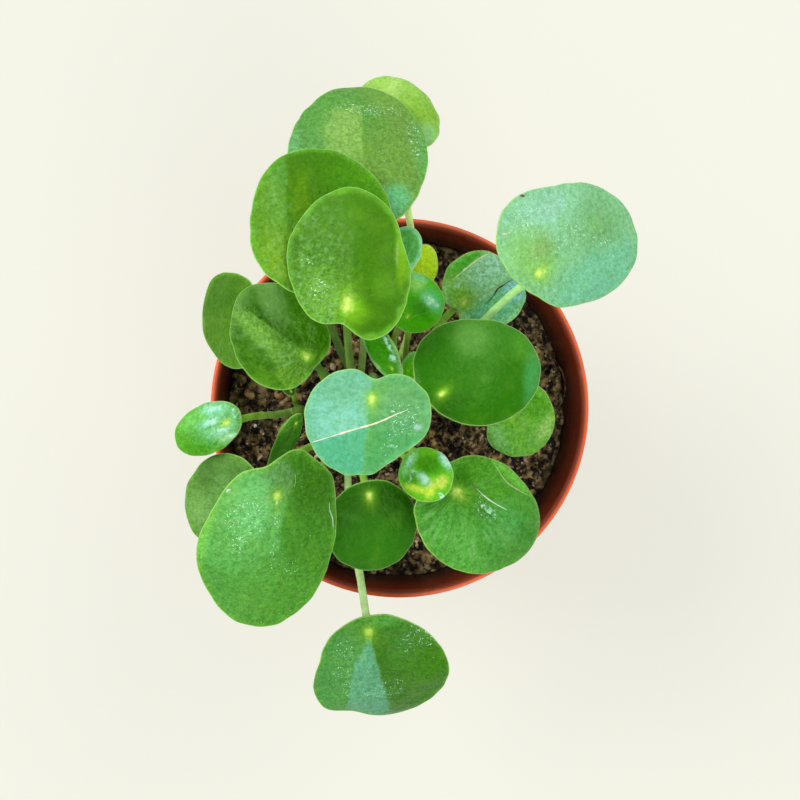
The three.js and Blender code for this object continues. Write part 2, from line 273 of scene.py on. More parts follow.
def ribField(places, share, seed):
    # Ribs leave the stalk like spokes and bend towards the tip as they near the margin.
    # 1 on the midrib and 0.8 on the others, less towards the margin, falling off like a bell beside them.
    random = np.random.default_rng(seed)
    bearing = np.arctan2(places[..., 1], places[..., 0])
    radius = np.hypot(places[..., 0], places[..., 1])
    field = np.zeros(radius.shape)
    for angle in bladeShape["ribAngles"]:
        angle = np.radians(angle + random.uniform(-6, 6) * (angle != 0))
        course = angle * (1 - bladeShape["ribBend"] * share ** 2)
        off = np.angle(np.exp(1j * (bearing - course)))
        aside = np.where(np.abs(off) < np.pi / 2, radius * np.sin(off), radius)
        strength = (1 - 0.7 * share ** 2) * (1 if angle == 0 else 0.8)
        field = np.maximum(field, strength * np.exp(-(aside / bladeShape["ribWidth"]) ** 2))
    return field


def bladeRelief(blade, places, share):
    # Lift over the smooth middle surface: a crease along the midrib, swells, cushions between sunken
    # small veins, and wrinkles that radiate from the stalk. The dimple where the stalk joins is given
    # apart, since only the upper face has it, and so is the ribs' field.
    look, seed = blade["look"], blade["seed"]
    radius = np.hypot(places[..., 0], places[..., 1])
    breadth = np.abs(blade["loop"][:, 1]).max()
    length = blade["loop"][:, 0].max()
    forward = smoothStep(0, 0.2, places[..., 0] / length)
    crease = np.exp(-np.abs(places[..., 1]) / (0.2 * breadth)) * forward * (1 - 0.6 * share)
    scale = min(1, length / (30 * mm))
    swell = ripples(places, bladeShape["swellSize"] * scale, seed + 1) * share
    grown = smoothStep(0.05, 0.3, share) * (1 - 0.75 * share ** 8)
    cushionSize = bladeShape["cushionSize"]
    cushion = ripples(places, cushionSize, seed + 2) + 0.5 * ripples(places, cushionSize / 2, seed + 8)
    spokes = ripples(spokeSpace(places), bladeShape["spokeSize"], seed + 6, 26)
    spokes = spokes - 0.8 * np.exp(-(spokes / bladeShape["valley"]) ** 2)
    lift = swell * bladeShape["swell"] * scale * look.get("swell", 1)
    depth = mm * grown * quilting(blade, places)
    lift = lift + (cushion * look.get("cushion", 0.05) + spokes * look.get("wrinkle", 0.02)) * depth
    lift = lift - crease * bladeShape["crease"] * scale * look.get("crease", 1)
    dimple = bladeShape["hubDimple"] * scale * np.exp(-(radius / (bladeShape["hubWidth"] * scale)) ** 2)
    return lift, dimple, ribField(places, share, seed) * look.get("ribs", 1)


def quilting(blade, places):
    # How deep the quilting and wrinkles are over the blade: full in the areas its look names and 0.3
    # outside them, or full everywhere where it names none.
    if "quilted" not in blade["look"]:
        return np.ones(places.shape[:-1])
    return 0.3 + 0.7 * coverage(blade, "quilted", places)


def coverage(blade, kind, places, least=0.0):
    # At each place the strongest of the look's areas of one kind, and never under the least.
    wobble = ripples(places, 5 * mm, blade["seed"] + 5)
    cover = np.full(places.shape[:-1], least)
    for patch in blade["look"].get(kind, ()):
        cover = np.maximum(cover, areaMask(patch, places, wobble))
    return cover


def bladeHeight(blade, places, share, side, half):
    # Height over the stalk's joint: the bent middle surface and its relief, less the dimple above, the
    # ribs pressed in from above (side 1) and from below (side -1), and half the thickness to that side.
    lift, dimple, ribs = bladeRelief(blade, places, share)
    above = np.maximum(side, 0)
    below = np.maximum(-side, 0)
    sunk = bladeShape["ribDepth"] * ribs * (above - 1.6 * below) * (1 - share ** 8)
    return blade["bend"](places) + lift - dimple * above - sunk + side * half, ribs


def bladeHalf(share):
    # Half the thickness: nearly even, thinning close to the margin.
    thin = bladeShape["marginThickness"] / 2
    return thin + (bladeShape["thickness"] / 2 - thin) * (1 - share ** 5)


def bladeOutline(blade, spokes):
    # The frame's outline read at so many spokes, with a faint wobble: each spoke's direction and reach.
    outline = throughLoop(blade["loop"], spokes)
    reach = np.linalg.norm(outline, axis=1)
    heading = outline / reach[:, None]
    return heading, reach + bladeShape["marginWobble"] * ripples(outline, 7 * mm, blade["seed"] + 3)


def onBlade(blade, places):
    # Points of the upper face over flat places, in the shared frame: along the blade's axes from its hub.
    heading, reach = bladeOutline(blade, bladeShape["spokes"])
    bearings = np.arctan2(heading[:, 1], heading[:, 0])
    order = np.argsort(bearings)
    bearing = np.arctan2(places[:, 1], places[:, 0])
    limit = np.interp(bearing, bearings[order], reach[order], period=2 * np.pi)
    limit = limit - bladeShape["marginThickness"] / 2
    share = np.minimum(np.hypot(places[:, 0], places[:, 1]) / limit, 1)
    height = bladeHeight(blade, places, share, 1.0, bladeHalf(share))[0]
    return np.concatenate([places, height[:, None]], 1) @ blade["axes"] + blade["hub"]


def buildBlade(name, blade, material):
    # Spokes from the stalk to the outline over the upper face, round the margin and back underneath.
    small = np.ptp(blade["loop"][:, 0]) < bladeShape["smallLength"]
    spokes = bladeShape["smallSpokes" if small else "spokes"]
    rings = bladeShape["smallRings" if small else "rings"]
    under = bladeShape["smallUnderRings" if small else "underRings"]
    heading, reach = bladeOutline(blade, spokes)
    thin = bladeShape["marginThickness"] / 2
    shares = (np.arange(rings) + 1) / rings
    back = (np.arange(under, 0, -1)) / under
    turns = np.linspace(0, np.pi, bladeShape["marginRows"] + 2)[1:-1]
    over = shares[:, None] * (reach - thin)
    around = reach - thin + thin * np.sin(turns)[:, None]
    distance = np.concatenate([over, around, back[:, None] * (reach - thin)])
    share = np.concatenate([shares, np.ones(len(turns)), back])[:, None] + 0 * distance
    side = np.concatenate([np.ones(rings), np.cos(turns), -np.ones(under)])[:, None] + 0 * distance
    places = distance[..., None] * heading
    half = np.where(share < 1, bladeHalf(share), thin)
    height, ribs = bladeHeight(blade, places, share, side, half)
    grid = np.concatenate([places, height[..., None]], -1)
    hub = np.zeros(2)
    poles = [bladeHeight(blade, hub, 0.0, face, bladeShape["thickness"] / 2)[0] for face in (1.0, -1.0)]
    ends = [np.array([0, 0, pole]) for pole in poles]
    points = shellPoints(ends[0], grid, ends[1]) @ blade["axes"] + blade["hub"]
    flat = shellPoints(hub, places, hub)
    nearest = reach.min()
    fields = ((0, share, 0), (1, side, -1), (nearest, reach - distance, nearest), (0, ribs, 0))
    share, side, rim, ribs = (np.concatenate([[a], field.ravel(), [b]]) for a, field, b in fields)
    look, above = blade["look"], side > 0
    quilted = quilting(blade, flat)
    offHub = smoothStep(0.8 * mm, 3 * mm, np.hypot(flat[:, 0], flat[:, 1]))
    numbers = {
        "rim": rim / mm, "rib": ribs, "under": side < 0,
        "dust": coverage(blade, "dusty", flat, look.get("specks", 0.15)) * above,
        # where a milky sheen and wet glints are painted on the upper face
        "painted_sheen": coverage(blade, "painted_sheen_areas", flat) * above,
        "painted_glint": coverage(blade, "painted_glint_areas", flat) * above,
        "shine": np.full(len(rim), look.get("shine", 0.5)),
        "pucker": quilted * look.get("cushion", 0.05) * 10,
        "wrinkle": quilted * look.get("wrinkle", 0.02) * 10 * offHub,
    }
    paint = paintBlade(blade, flat, side, rim)
    faces = shellFaces(len(grid), spokes)
    spoke = spokeSpace(flat)
    return makePiece(name + "_blade", points, faces, material, [name], paint, numbers, spoke)


def area(at, size, soft=0.4, turn=0, strength=1, cuts=()):
    # An ellipse on a blade: its middle, in millimetres from the stalk towards the tip and to its left,
    # half its length and width, how wide its edge fades, its turn in degrees and its strength. Each cut
    # keeps the side of a line that its angle points to, beyond its offset.
    return {"at": at, "size": size, "soft": soft, "turn": turn, "strength": strength, "cuts": cuts}


def tint(colour, *placing, **more):
    # An area with a colour of its own, or with a painted sheen or highlight.
    return {"colour": colour, **area(*placing, **more)}


def areaMask(patch, places, wobble):
    # 1 inside the ellipse and its cuts, falling to 0 over their soft edges.
    aside = places / mm - np.array(patch["at"])
    turn = np.radians(patch["turn"])
    along = aside @ np.array([np.cos(turn), np.sin(turn)])
    across = aside @ np.array([-np.sin(turn), np.cos(turn)])
    distance = np.hypot(along / patch["size"][0], across / patch["size"][1]) * (1 + 0.06 * wobble)
    mask = 1 - smoothStep(1 - patch["soft"], 1 + patch["soft"], distance)
    for angle, offset in patch["cuts"]:
        line = places / mm @ np.array([np.cos(np.radians(angle)), np.sin(np.radians(angle))])
        mask = mask * smoothStep(-0.45, 0.45, line - offset + 0.15 * wobble)
    return mask * patch["strength"]


def paintBlade(blade, places, side, rim):
    # The leaf's own green with its other greens and its painted sheen and highlights, a brighter margin,
    # the yellow-green spot over the stalk, drawn out towards the tip, and a paler underside.
    look = blade["look"]
    wobble = ripples(places, 6 * mm, blade["seed"] + 4)
    colour = np.broadcast_to(toLinear(look["colour"]), (len(places), 3))
    for patch in look.get("greens_and_painted_sheen", ()):
        colour = mixed(colour, toLinear(patch["colour"]), areaMask(patch, places, wobble))
    strip = (1 - smoothStep(0.3, 2.2, rim / mm + 0.5 * wobble)) * look.get("edge", 0.35)
    colour = mixed(colour, toLinear(look.get("edgeColour", "#73ba35")), strip)
    spot = look.get("spot", 1.2)
    along = np.where(places[:, 0] > 0, places[:, 0] / 2.1, places[:, 0])
    drawn = np.hypot(along, places[:, 1]) / mm
    colour = mixed(colour, toLinear("#8ccc22"), 0.7 * np.exp(-(drawn / (2.2 * spot)) ** 2))
    colour = mixed(colour, toLinear("#e4fc7c"), 0.95 * np.exp(-(drawn / (1.0 * spot)) ** 2.5))
    beneath = mixed(toLinear("#759a53"), toLinear(look["colour"]), 0.35)
    return mixed(colour, beneath, smoothStep(0.3, -0.3, side))


# Each leaf's own look. lean is how many degrees the middle of its face lies left of its tip; shine is its
# gloss; cushion and wrinkle are how deep its quilting and its radiating wrinkles are, in millimetres, and
# quilted is where they are deepest; crease, ribs and swell scale its midrib, its ribs and its waves; spot
# and edge scale the yellow-green spot over the stalk and the brighter margin; specks is how dusty it is all
# over. Its colour and the areas of other greens hold painted light too: bluish and pale areas are a painted
# reflection of the sky, the palest spots are painted highlights, and leaves in the others' shade have their
# greens lifted by painted light. The last lists are where it has dry flecks, a painted milky sheen and
# painted wet glints.
leafLooks = {
    "leaf_01": {
        "lean": -5.8, "colour": "#9dcc5a", "shine": 0.45, "edgeColour": "#9fc86c",
        "greens_and_painted_sheen": [
            tint("#86b73c", (6, -9), (11, 8), 0.7), tint("#91cd82", (1, -11), (5, 4), 0.8),
            tint("#add46e", (14, 3), (9, 2.4), 0.6),
        ],
    },
    "leaf_02": {
        "lean": 3, "colour": "#74a145", "shine": 0.4, "specks": 0.45, "cushion": 0.07,
        "edgeColour": "#60aa43",
        "greens_and_painted_sheen": [
            tint("#65a253", (22, 15), (20, 8), 0.5), tint("#60a047", (30, 4), (12, 10), 0.6),
            tint("#79b97b", (17, 19.5), (12, 2.4), 0.7),
            # The pale oval here and the teal spot by the stalk below are a painted reflection of the sky.
            tint("#86b556", (17, -0.5), (15, 10.2), 0.1, cuts=[(82, 1.5)]),
            tint("#8fbb5f", (20, 3), (10, 6), 0.7, cuts=[(82, 1.6)]),
            tint("#65aa5e", (10, -19), (14, 3), 0.8, strength=0.7),
            tint("#76cb92", (-3.4, -8.4), (4.6, 4), 0.6),
        ],
        "dusty": [
            area((31, -3), (3, 12), 0.5), area((30, -8), (4, 9), 0.6), area((18, -17), (10, 3), 0.6),
        ],
    },
    "leaf_03": {
        "lean": -3.3, "colour": "#427d01", "shine": 0.55, "wrinkle": 0.015, "edge": 0.7,
        "edgeColour": "#65b02c", "cushion": 0.06,
        "greens_and_painted_sheen": [
            # The paler strip along one side, beyond the cut line, is a painted sheen.
            tint("#5d9320", (16, 16), (28, 12), 0.2, cuts=[(80.4, 11.9)]),
            tint("#599432", (30, 8.4), (6.5, 2.6), 0.5, cuts=[(80.4, 11.9)]),
            tint("#619c35", (19, 11), (9, 2.2), 0.6, strength=0.7),
            tint("#75a423", (6, 12), (8, 6), 0.6), tint("#598a04", (22, 4), (9, 3), 0.7),
            tint("#4d9302", (25, -13), (8, 8), 0.8),
        ],
        "painted_sheen_areas": [area((18, 13), (22, 5), 0.7, strength=0.5)],
    },
    "leaf_04": {
        "lean": -2.7, "colour": "#457e0f", "shine": 0.6, "cushion": 0.1, "wrinkle": 0.03, "edge": 0.6,
        "spot": 1.5,
        "greens_and_painted_sheen": [
            tint("#528824", (18, 7), (16, 8), 0.6), tint("#5f972f", (8, 9), (10, 6), 0.6),
            tint("#75ae3e", (2.5, 7), (7, 5), 0.6),
            tint("#3f7903", (12, -9), (18, 7), 0.4, cuts=[(-90, 1.5)]),
            tint("#3a7401", (-1, -9), (6, 6), 0.6), tint("#508a15", (6, -10), (3.5, 3), 0.6),
            tint("#6ea50b", (17, -14.6), (10, 1.7), 0.5),
            tint("#86a460", (15.6, -13.3), (3.2, 0.26), 0.6),
            tint("#66a50b", (-1.5, -1.8), (3.2, 3.6), 0.7),
        ],
        "quilted": [area((8, 10), (16, 11), 0.6)],
        "dusty": [area((13, 11), (2, 3), 0.6), area((5, 8), (4, 3), 0.6)],
        "painted_sheen_areas": [area((9, 9.5), (20, 9), 0.7, strength=0.75), area((1, 6.5), (8, 5), 0.6)],
    },
    "leaf_05": {
        "lean": -1.2, "colour": "#4a7c05", "shine": 0.45,
        "greens_and_painted_sheen": [tint("#508717", (8, 8), (10, 7), 0.8), tint("#3f7902", (14, -8), (8, 5), 0.8)],
    },
    "leaf_06": {
        "lean": -2, "colour": "#387300", "shine": 0.65, "cushion": 0.11, "wrinkle": 0.055,
        "crease": 1.4, "edge": 0.3, "spot": 0.8, "ribs": 0.6,
        "greens_and_painted_sheen": [
            # The paler zone beyond the cut lines is a painted sheen.
            tint("#68a132", (16, 3), (17, 9), 0.05, cuts=[(90, -0.8), (-101.8, -8.6)]),
            tint("#83ba4a", (16, 3.0), (12, 2.8), 0.7, turn=-8, cuts=[(90, -0.6)]),
            tint("#468207", (8, 9.5), (14, 3), 0.4, turn=-14),
            tint("#6ca12c", (0.6, 6.6), (5.4, 3.6), 0.12),
            tint("#659546", (22, -8), (11, 3.2), 0.6, turn=-24),
            tint("#6e9e4d", (29, -1), (3, 5), 0.7, strength=0.7),
        ],
        "quilted": [area((14, 4), (17, 7), 0.5)],
        "painted_sheen_areas": [area((14, 3.5), (15, 4.4), 0.5, strength=0.8, cuts=[(90, -0.6)])],
    },
    "leaf_07": {
        "lean": -4.2, "colour": "#64ba33", "shine": 0.9, "cushion": 0.06, "wrinkle": 0.04, "spot": 0.8,
        "greens_and_painted_sheen": [
            # The pale cyan and white areas near the stalk are painted highlights.
            tint("#51a719", (13, 3), (6, 4), 0.7), tint("#8adda3", (2, -2), (8, 6), 0.7, strength=0.7),
            tint("#78cc64", (9, -5), (6, 3), 0.8),
            tint("#a0e8cc", (2.8, -5.4), (3.4, 1.6), 1.0, turn=-12),
            tint("#a0e8cc", (4.8, -1.8), (3.4, 1.2), 1.0), tint("#a8eccc", (2.2, 1.8), (3.4, 1.3), 1.0),
            tint("#b8eeb0", (0.6, 4.4), (3.2, 1.2), 1.0),
        ],
        "painted_glint_areas": [
            area((3.4, -5.3), (2.6, 1.3), 1.0, turn=-12, strength=0.8),
            area((4.8, -1.8), (3.0, 1.1), 1.0, strength=0.8),
            area((2.0, 1.8), (3.0, 1.2), 1.0, strength=0.8),
            area((0.6, 4.3), (2.8, 1.1), 1.0, strength=0.8),
            area((-3.0, -1.6), (1.1, 3.4), 1.0, strength=0.7),
        ],
    },
    "leaf_08": {
        "lean": 15, "colour": "#659742", "shine": 0.5, "cushion": 0.06, "wrinkle": 0.06,
        "greens_and_painted_sheen": [
            tint("#7fb05c", (12, 7), (8, 4), 0.8), tint("#548436", (13, -5), (8, 4), 0.8),
            tint("#6ea455", (10, 1), (3, 7), 0.8),
        ],
    },
    "leaf_09": {
        "lean": 1.7, "colour": "#4c9227", "shine": 0.55, "specks": 0.45, "cushion": 0.07,
        "wrinkle": 0.02, "edge": 0.5, "spot": 0.9,
        "greens_and_painted_sheen": [
            # The lighter half and its pale bluish spots are a painted sheen.
            tint("#5da647", (22, -10), (26, 14), 0.35), tint("#67b559", (6, -10), (19, 13.2), 0.07),
            tint("#6aa359", (-3.6, -0.6), (6.6, 4.6), 0.1), tint("#79cc79", (4, -6.4), (9, 5), 0.6),
            tint("#428217", (-5, 10), (8, 5), 0.6), tint("#87d55e", (8, -20), (14, 3), 0.7),
            tint("#5faa3b", (32, 6), (9, 12), 0.8, strength=0.7),
        ],
        "dusty": [
            area((8, -8), (7, 7), 0.5), area((16, -9), (4, 3), 0.5), area((5, 1), (6, 1.6), 0.6),
            area((17, 2), (7, 2), 0.7, strength=0.9), area((22, 6), (5, 5), 0.7, strength=0.8),
        ],
        "painted_sheen_areas": [area((6, -9), (12, 8), 0.6, strength=0.9)],
    },
    "leaf_10": {
        "lean": -9.3, "colour": "#59a861", "shine": 0.5, "specks": 0.35, "cushion": 0.045,
        "wrinkle": 0.015, "spot": 0.9, "edgeColour": "#78c48c",
        "greens_and_painted_sheen": [
            # The bluish mint half is a painted reflection of the sky.
            tint("#71bc99", (4, -10), (22, 14), 0.1, cuts=[(-90, 0.4)]),
            tint("#86cfbd", (4, -8), (9, 7), 0.7, cuts=[(-90, 0.6)]),
            tint("#69af82", (-1, -9), (5, 6), 0.7, strength=0.7),
            tint("#59b58d", (15, -8), (14, 12), 0.2, cuts=[(-90, 0.4), (23.8, 7.2)]),
            tint("#4fa361", (14, 8), (10, 9), 0.5, cuts=[(23.8, 7.2), (90, 0.6)]),
            tint("#65a86f", (1, 8), (6, 7), 0.8), tint("#69ca8b", (15, 12), (9, 2.2), 0.7, turn=-46),
            tint("#abcfca", (6.6, 13.1), (0.7, 1.0), 0.9),
            tint("#92cfad", (12.4, 6.8), (0.4, 0.6), 0.6),
        ],
        "dusty": [area((5, 9), (6, 6), 0.7), area((12, 6), (4, 3), 0.6)],
        "painted_sheen_areas": [area((4, 6), (10, 10), 0.7, strength=0.6)],
    },
    "leaf_11": {
        "lean": -2.8, "colour": "#2a7302", "shine": 0.5, "cushion": 0.03, "spot": 0.85,
        "edgeColour": "#448622",
        "greens_and_painted_sheen": [
            tint("#236101", (2, 8), (7, 7), 0.8), tint("#328604", (16, -2), (8, 10), 0.8),
            tint("#3c891e", (6, -6), (3, 1), 0.8, turn=60),
        ],
    },
    "leaf_12": {
        "colour": "#70d020", "shine": 1.0, "cushion": 0.05, "wrinkle": 0.03, "spot": 0.5, "edge": 0.2,
        "greens_and_painted_sheen": [
            tint("#48a408", (4.4, -2.8), (3.6, 2.6), 0.5), tint("#54b00c", (8, 3), (3, 2), 0.7),
            # The yellow, white and cyan streaks are painted highlights.
            tint("#d8f050", (1.2, 3.0), (1.4, 2.6), 0.6),
            tint("#ccf04c", (4.6, 4.6), (3.8, 1.0), 0.5, turn=6),
            tint("#e8f068", (-0.8, -0.2), (1.3, 1.8), 0.6), tint("#90e890", (9.8, -1), (1.6, 4), 0.6),
            tint("#9cf0c8", (1.2, -6.2), (3.2, 1.3), 0.6, turn=148),
            tint("#b0f0cc", (4.0, 1.2), (2.0, 1.1), 0.9, turn=-19),
        ],
        "painted_glint_areas": [
            area((4.0, 1.2), (2.0, 1.2), 1.0, turn=-19, strength=0.85),
            area((10.0, -1.4), (1.2, 3.8), 1.0, strength=0.75),
            area((7.6, 1.4), (0.9, 3.0), 1.0, strength=0.7), area((1.4, -6.4), (3.0, 0.9), turn=148),
            area((-2.4, 3.4), (1.4, 0.7), turn=-30),
        ],
    },
    "leaf_13": {
        "lean": -3.4, "colour": "#4ba330", "shine": 0.6, "specks": 0.4, "cushion": 0.09,
        "wrinkle": 0.06, "edge": 0.4, "edgeColour": "#78bd41",
        "greens_and_painted_sheen": [
            tint("#5baf28", (4, 8), (11, 8), 0.5),
            tint("#77d145", (12, 16.5), (14, 3.8), 0.3, cuts=[(90, 12.6)]),
            tint("#62b94a", (14, -10), (15, 8), 0.8),
            tint("#5db95d", (20, 2), (6, 6), 0.8, strength=0.7),
            tint("#3f9107", (-1.5, 4.6), (3, 2.6), 0.6), tint("#3f8e0c", (-4.4, -6), (4, 3.4), 0.5),
        ],
        "painted_glint_areas": [area((12, 2), (4, 1.2), turn=8, strength=0.7)],
        "dusty": [area((12, 1), (5, 3), 0.6), area((8, 2), (3, 2), 0.6)],
        "painted_sheen_areas": [
            area((2, -11), (10, 6), 0.7), area((18, -4), (6, 9), 0.8),
            area((12, 6), (8, 5), 0.8, strength=0.6),
        ],
    },
    "leaf_14": {
        "lean": -3.3, "colour": "#2a7301", "shine": 0.7, "spot": 0.65, "ribs": 0.3, "cushion": 0.02,
        "wrinkle": 0.004, "specks": 0.05, "swell": 0.6, "edge": 0.12, "edgeColour": "#6a8655",
        "greens_and_painted_sheen": [
            tint("#3d841e", (24, 6), (12, 7), 0.8, strength=0.8),
            # The paler grey-green and cyan areas are a painted sheen.
            tint("#5e983f", (17.5, 8), (5, 4.4), 0.7, strength=0.85),
            tint("#429849", (27, -10.5), (8.5, 2.6), 0.6, turn=42),
            tint("#499426", (30, -3), (4, 4), 0.8, strength=0.6),
            tint("#488c20", (13, -3.6), (1.4, 1.2), 0.8, strength=0.7),
            tint("#266a00", (1, -4), (5, 3), 0.7),
        ],
    },
    "leaf_15": {
        "lean": 5.7, "colour": "#77c63b", "shine": 0.6, "cushion": 0.1, "wrinkle": 0.03, "edge": 0.6,
        "greens_and_painted_sheen": [
            tint("#5bb213", (5, 6.4), (8, 3.6), 0.3), tint("#a8dc6f", (16, 4), (3, 5), 0.6),
            tint("#93dc7c", (3, -8), (8, 2.4), 0.7, turn=-20),
        ],
        "painted_sheen_areas": [area((10, 0), (8, 6), 0.8)],
    },
    "leaf_16": {
        "lean": 2.5, "colour": "#85c593", "shine": 0.4, "specks": 0.5, "cushion": 0.05,
        "wrinkle": 0.015, "spot": 1.1, "edgeColour": "#8cc48c",
        "greens_and_painted_sheen": [
            # Its bluish greens are a painted reflection of the sky.
            tint("#92ceae", (12, 14), (17, 8), 0.7), tint("#8dc973", (1, 6), (7, 8), 0.8),
            tint("#78c3a2", (14, -14), (19, 9), 0.4, strength=0.8, cuts=[(-90, 4.4)]),
            tint("#7ab67b", (27, -1), (8, 6), 0.7), tint("#89b068", (6, 5), (4, 3), 0.8, strength=0.8),
            tint("#99ceb9", (18, 12), (5, 3), 0.8),
        ],
        "dusty": [
            area((9, 14), (8, 6), 0.7), area((16, 2), (9, 5), 0.7),
            area((24, -6), (5, 5), 0.7, strength=0.8),
        ],
        "painted_sheen_areas": [area((12, 10), (16, 10), 0.8, strength=0.8)],
    },
    "leaf_17": {
        # Its pale colour is lifted to paint light into the shade of the leaves above it, and its cyan areas
        # are a painted reflection of the sky.
        "lean": -5.5, "colour": "#b2f4c4", "shine": 0.5, "cushion": 0.08, "wrinkle": 0.03,
        "edgeColour": "#b4f08c", "spot": 1.1,
        "greens_and_painted_sheen": [
            tint("#58c036", (8, 12), (14, 6), 0.2, cuts=[(90, 7.2)]),
            tint("#a4e65c", (0.5, 2), (5, 6), 0.7), tint("#bcf6dc", (15, 3), (8, 4), 0.7),
            tint("#88dcae", (10, -7), (14, 5), 0.3, cuts=[(-90, 2.6)]),
            tint("#a4e8f8", (17, -6.6), (5, 3), 0.6, cuts=[(-90, 2.8)]),
        ],
        "painted_sheen_areas": [area((12, 2), (10, 6), 0.7)],
        "painted_glint_areas": [area((1.6, 5.0), (1.2, 1.0), strength=0.8)],
    },
    "leaf_18": {
        "lean": 16.5, "colour": "#54c80a", "shine": 1.0, "cushion": 0.03, "wrinkle": 0.015,
        "spot": 0.35,
        "greens_and_painted_sheen": [
            # The pale and cyan spots are painted highlights.
            tint("#a8ec70", (10, 4.2), (2.8, 2.3), 0.7), tint("#8ce8a0", (12, 6), (1.6, 3), 0.7),
            tint("#58d074", (8.6, -2.5), (3, 4), 0.7), tint("#3ca008", (4.5, -1), (2.2, 4), 0.7),
            tint("#98e8b4", (8.1, -2.0), (1.4, 2.4), 0.9),
        ],
        "painted_glint_areas": [
            area((8.1, -2.0), (1.5, 2.5), 1.0, strength=0.85),
            area((8.4, -4.4), (1.0, 1.4), 1.0, strength=0.8),
        ],
    },
    # The pale cyan margins of these small leaves are painted reflections.
    "leaf_19": {"colour": "#5cb858", "shine": 0.5, "edgeColour": "#a4f0c4", "edge": 0.7, "spot": 0.3},
    "leaf_20": {"colour": "#d0f41e", "shine": 0.5, "edgeColour": "#e8ff78", "spot": 0.3},
    "leaf_21": {
        "colour": "#42a808", "shine": 0.8, "edgeColour": "#c0f4b0", "edge": 0.7, "spot": 0.3,
        "painted_glint_areas": [area((2.8, -1.9), (1.8, 1.3), 1.0), area((6.6, -2.6), (3.2, 0.7), 1.0)],
    },
    "leaf_22": {
        "colour": "#64cb06", "shine": 0.7, "edgeColour": "#b4ecc0", "edge": 0.6, "spot": 0.3,
        "painted_glint_areas": [area((3.3, 4.0), (2.4, 0.9))],
    },
    "leaf_23": {"colour": "#4f9428", "shine": 0.5, "edge": 0.4, "spot": 0.3},
    "leaf_24": {"colour": "#75a15c", "shine": 0.5},
    "leaf_25": {"colour": "#2f520f", "shine": 0.4, "spot": 0.2, "edge": 0.2},
    "leaf_26": {
        "lean": 1, "colour": "#42811c", "shine": 0.5, "specks": 0.5, "cushion": 0.07, "wrinkle": 0.02,
        "spot": 1.0,
        "greens_and_painted_sheen": [
            # The lighter half and the bluish wedge from the stalk are a painted reflection of the sky.
            tint("#549f4b", (14, -12), (22, 14), 0.3, cuts=[(-90, 0.2)]),
            tint("#67b28e", (17, -5), (22, 9), 0.25, cuts=[(-90, 0), (72, -3.3), (52, 1.2)]),
            tint("#4c8e32", (8, 12), (8, 7), 0.8), tint("#43840d", (18, 16), (9, 6), 0.7),
            tint("#5da648", (-3, 6), (3, 8), 0.7),
        ],
        "dusty": [
            area((8, 14), (6, 7), 0.6), area((24, 0), (5, 9), 0.6), area((5, -9), (6, 4), 0.7),
            area((16, -12), (9, 4), 0.7),
        ],
        "painted_sheen_areas": [
            area((12, -5), (10, 6), 0.7, strength=0.8, cuts=[(-90, 0.2)]),
            area((24, -8), (5, 9), 0.7, strength=0.6),
        ],
    },
}


# Patterns in the blade's skin, and those that fan out from the stalk: the size of each in millimetres,
# its detail and its roughness.
skinPatterns = {
    "broad": (8, 2, 0.55), "mottle": (1.2, 4, 0.65), "crisp": (0.7, 3, 0.6), "pores": (0.4, 2, 0.55),
    "pucker": (2, 4, 0.55), "glint": (1.9, 4, 0.7), "fleck": (0.62, 3, 0.7), "painted_glint": (1.1, 3, 0.6),
}
fannedPatterns = {"wrinkle": (3.6, 3, 0.55), "furrow": (4.6, 1.5, 0.5), "streak": (2.2, 4, 0.65)}
covering = {"data_type": "RGBA", "blend_type": "MIX"}
darkening = {"data_type": "RGBA", "blend_type": "MULTIPLY"}


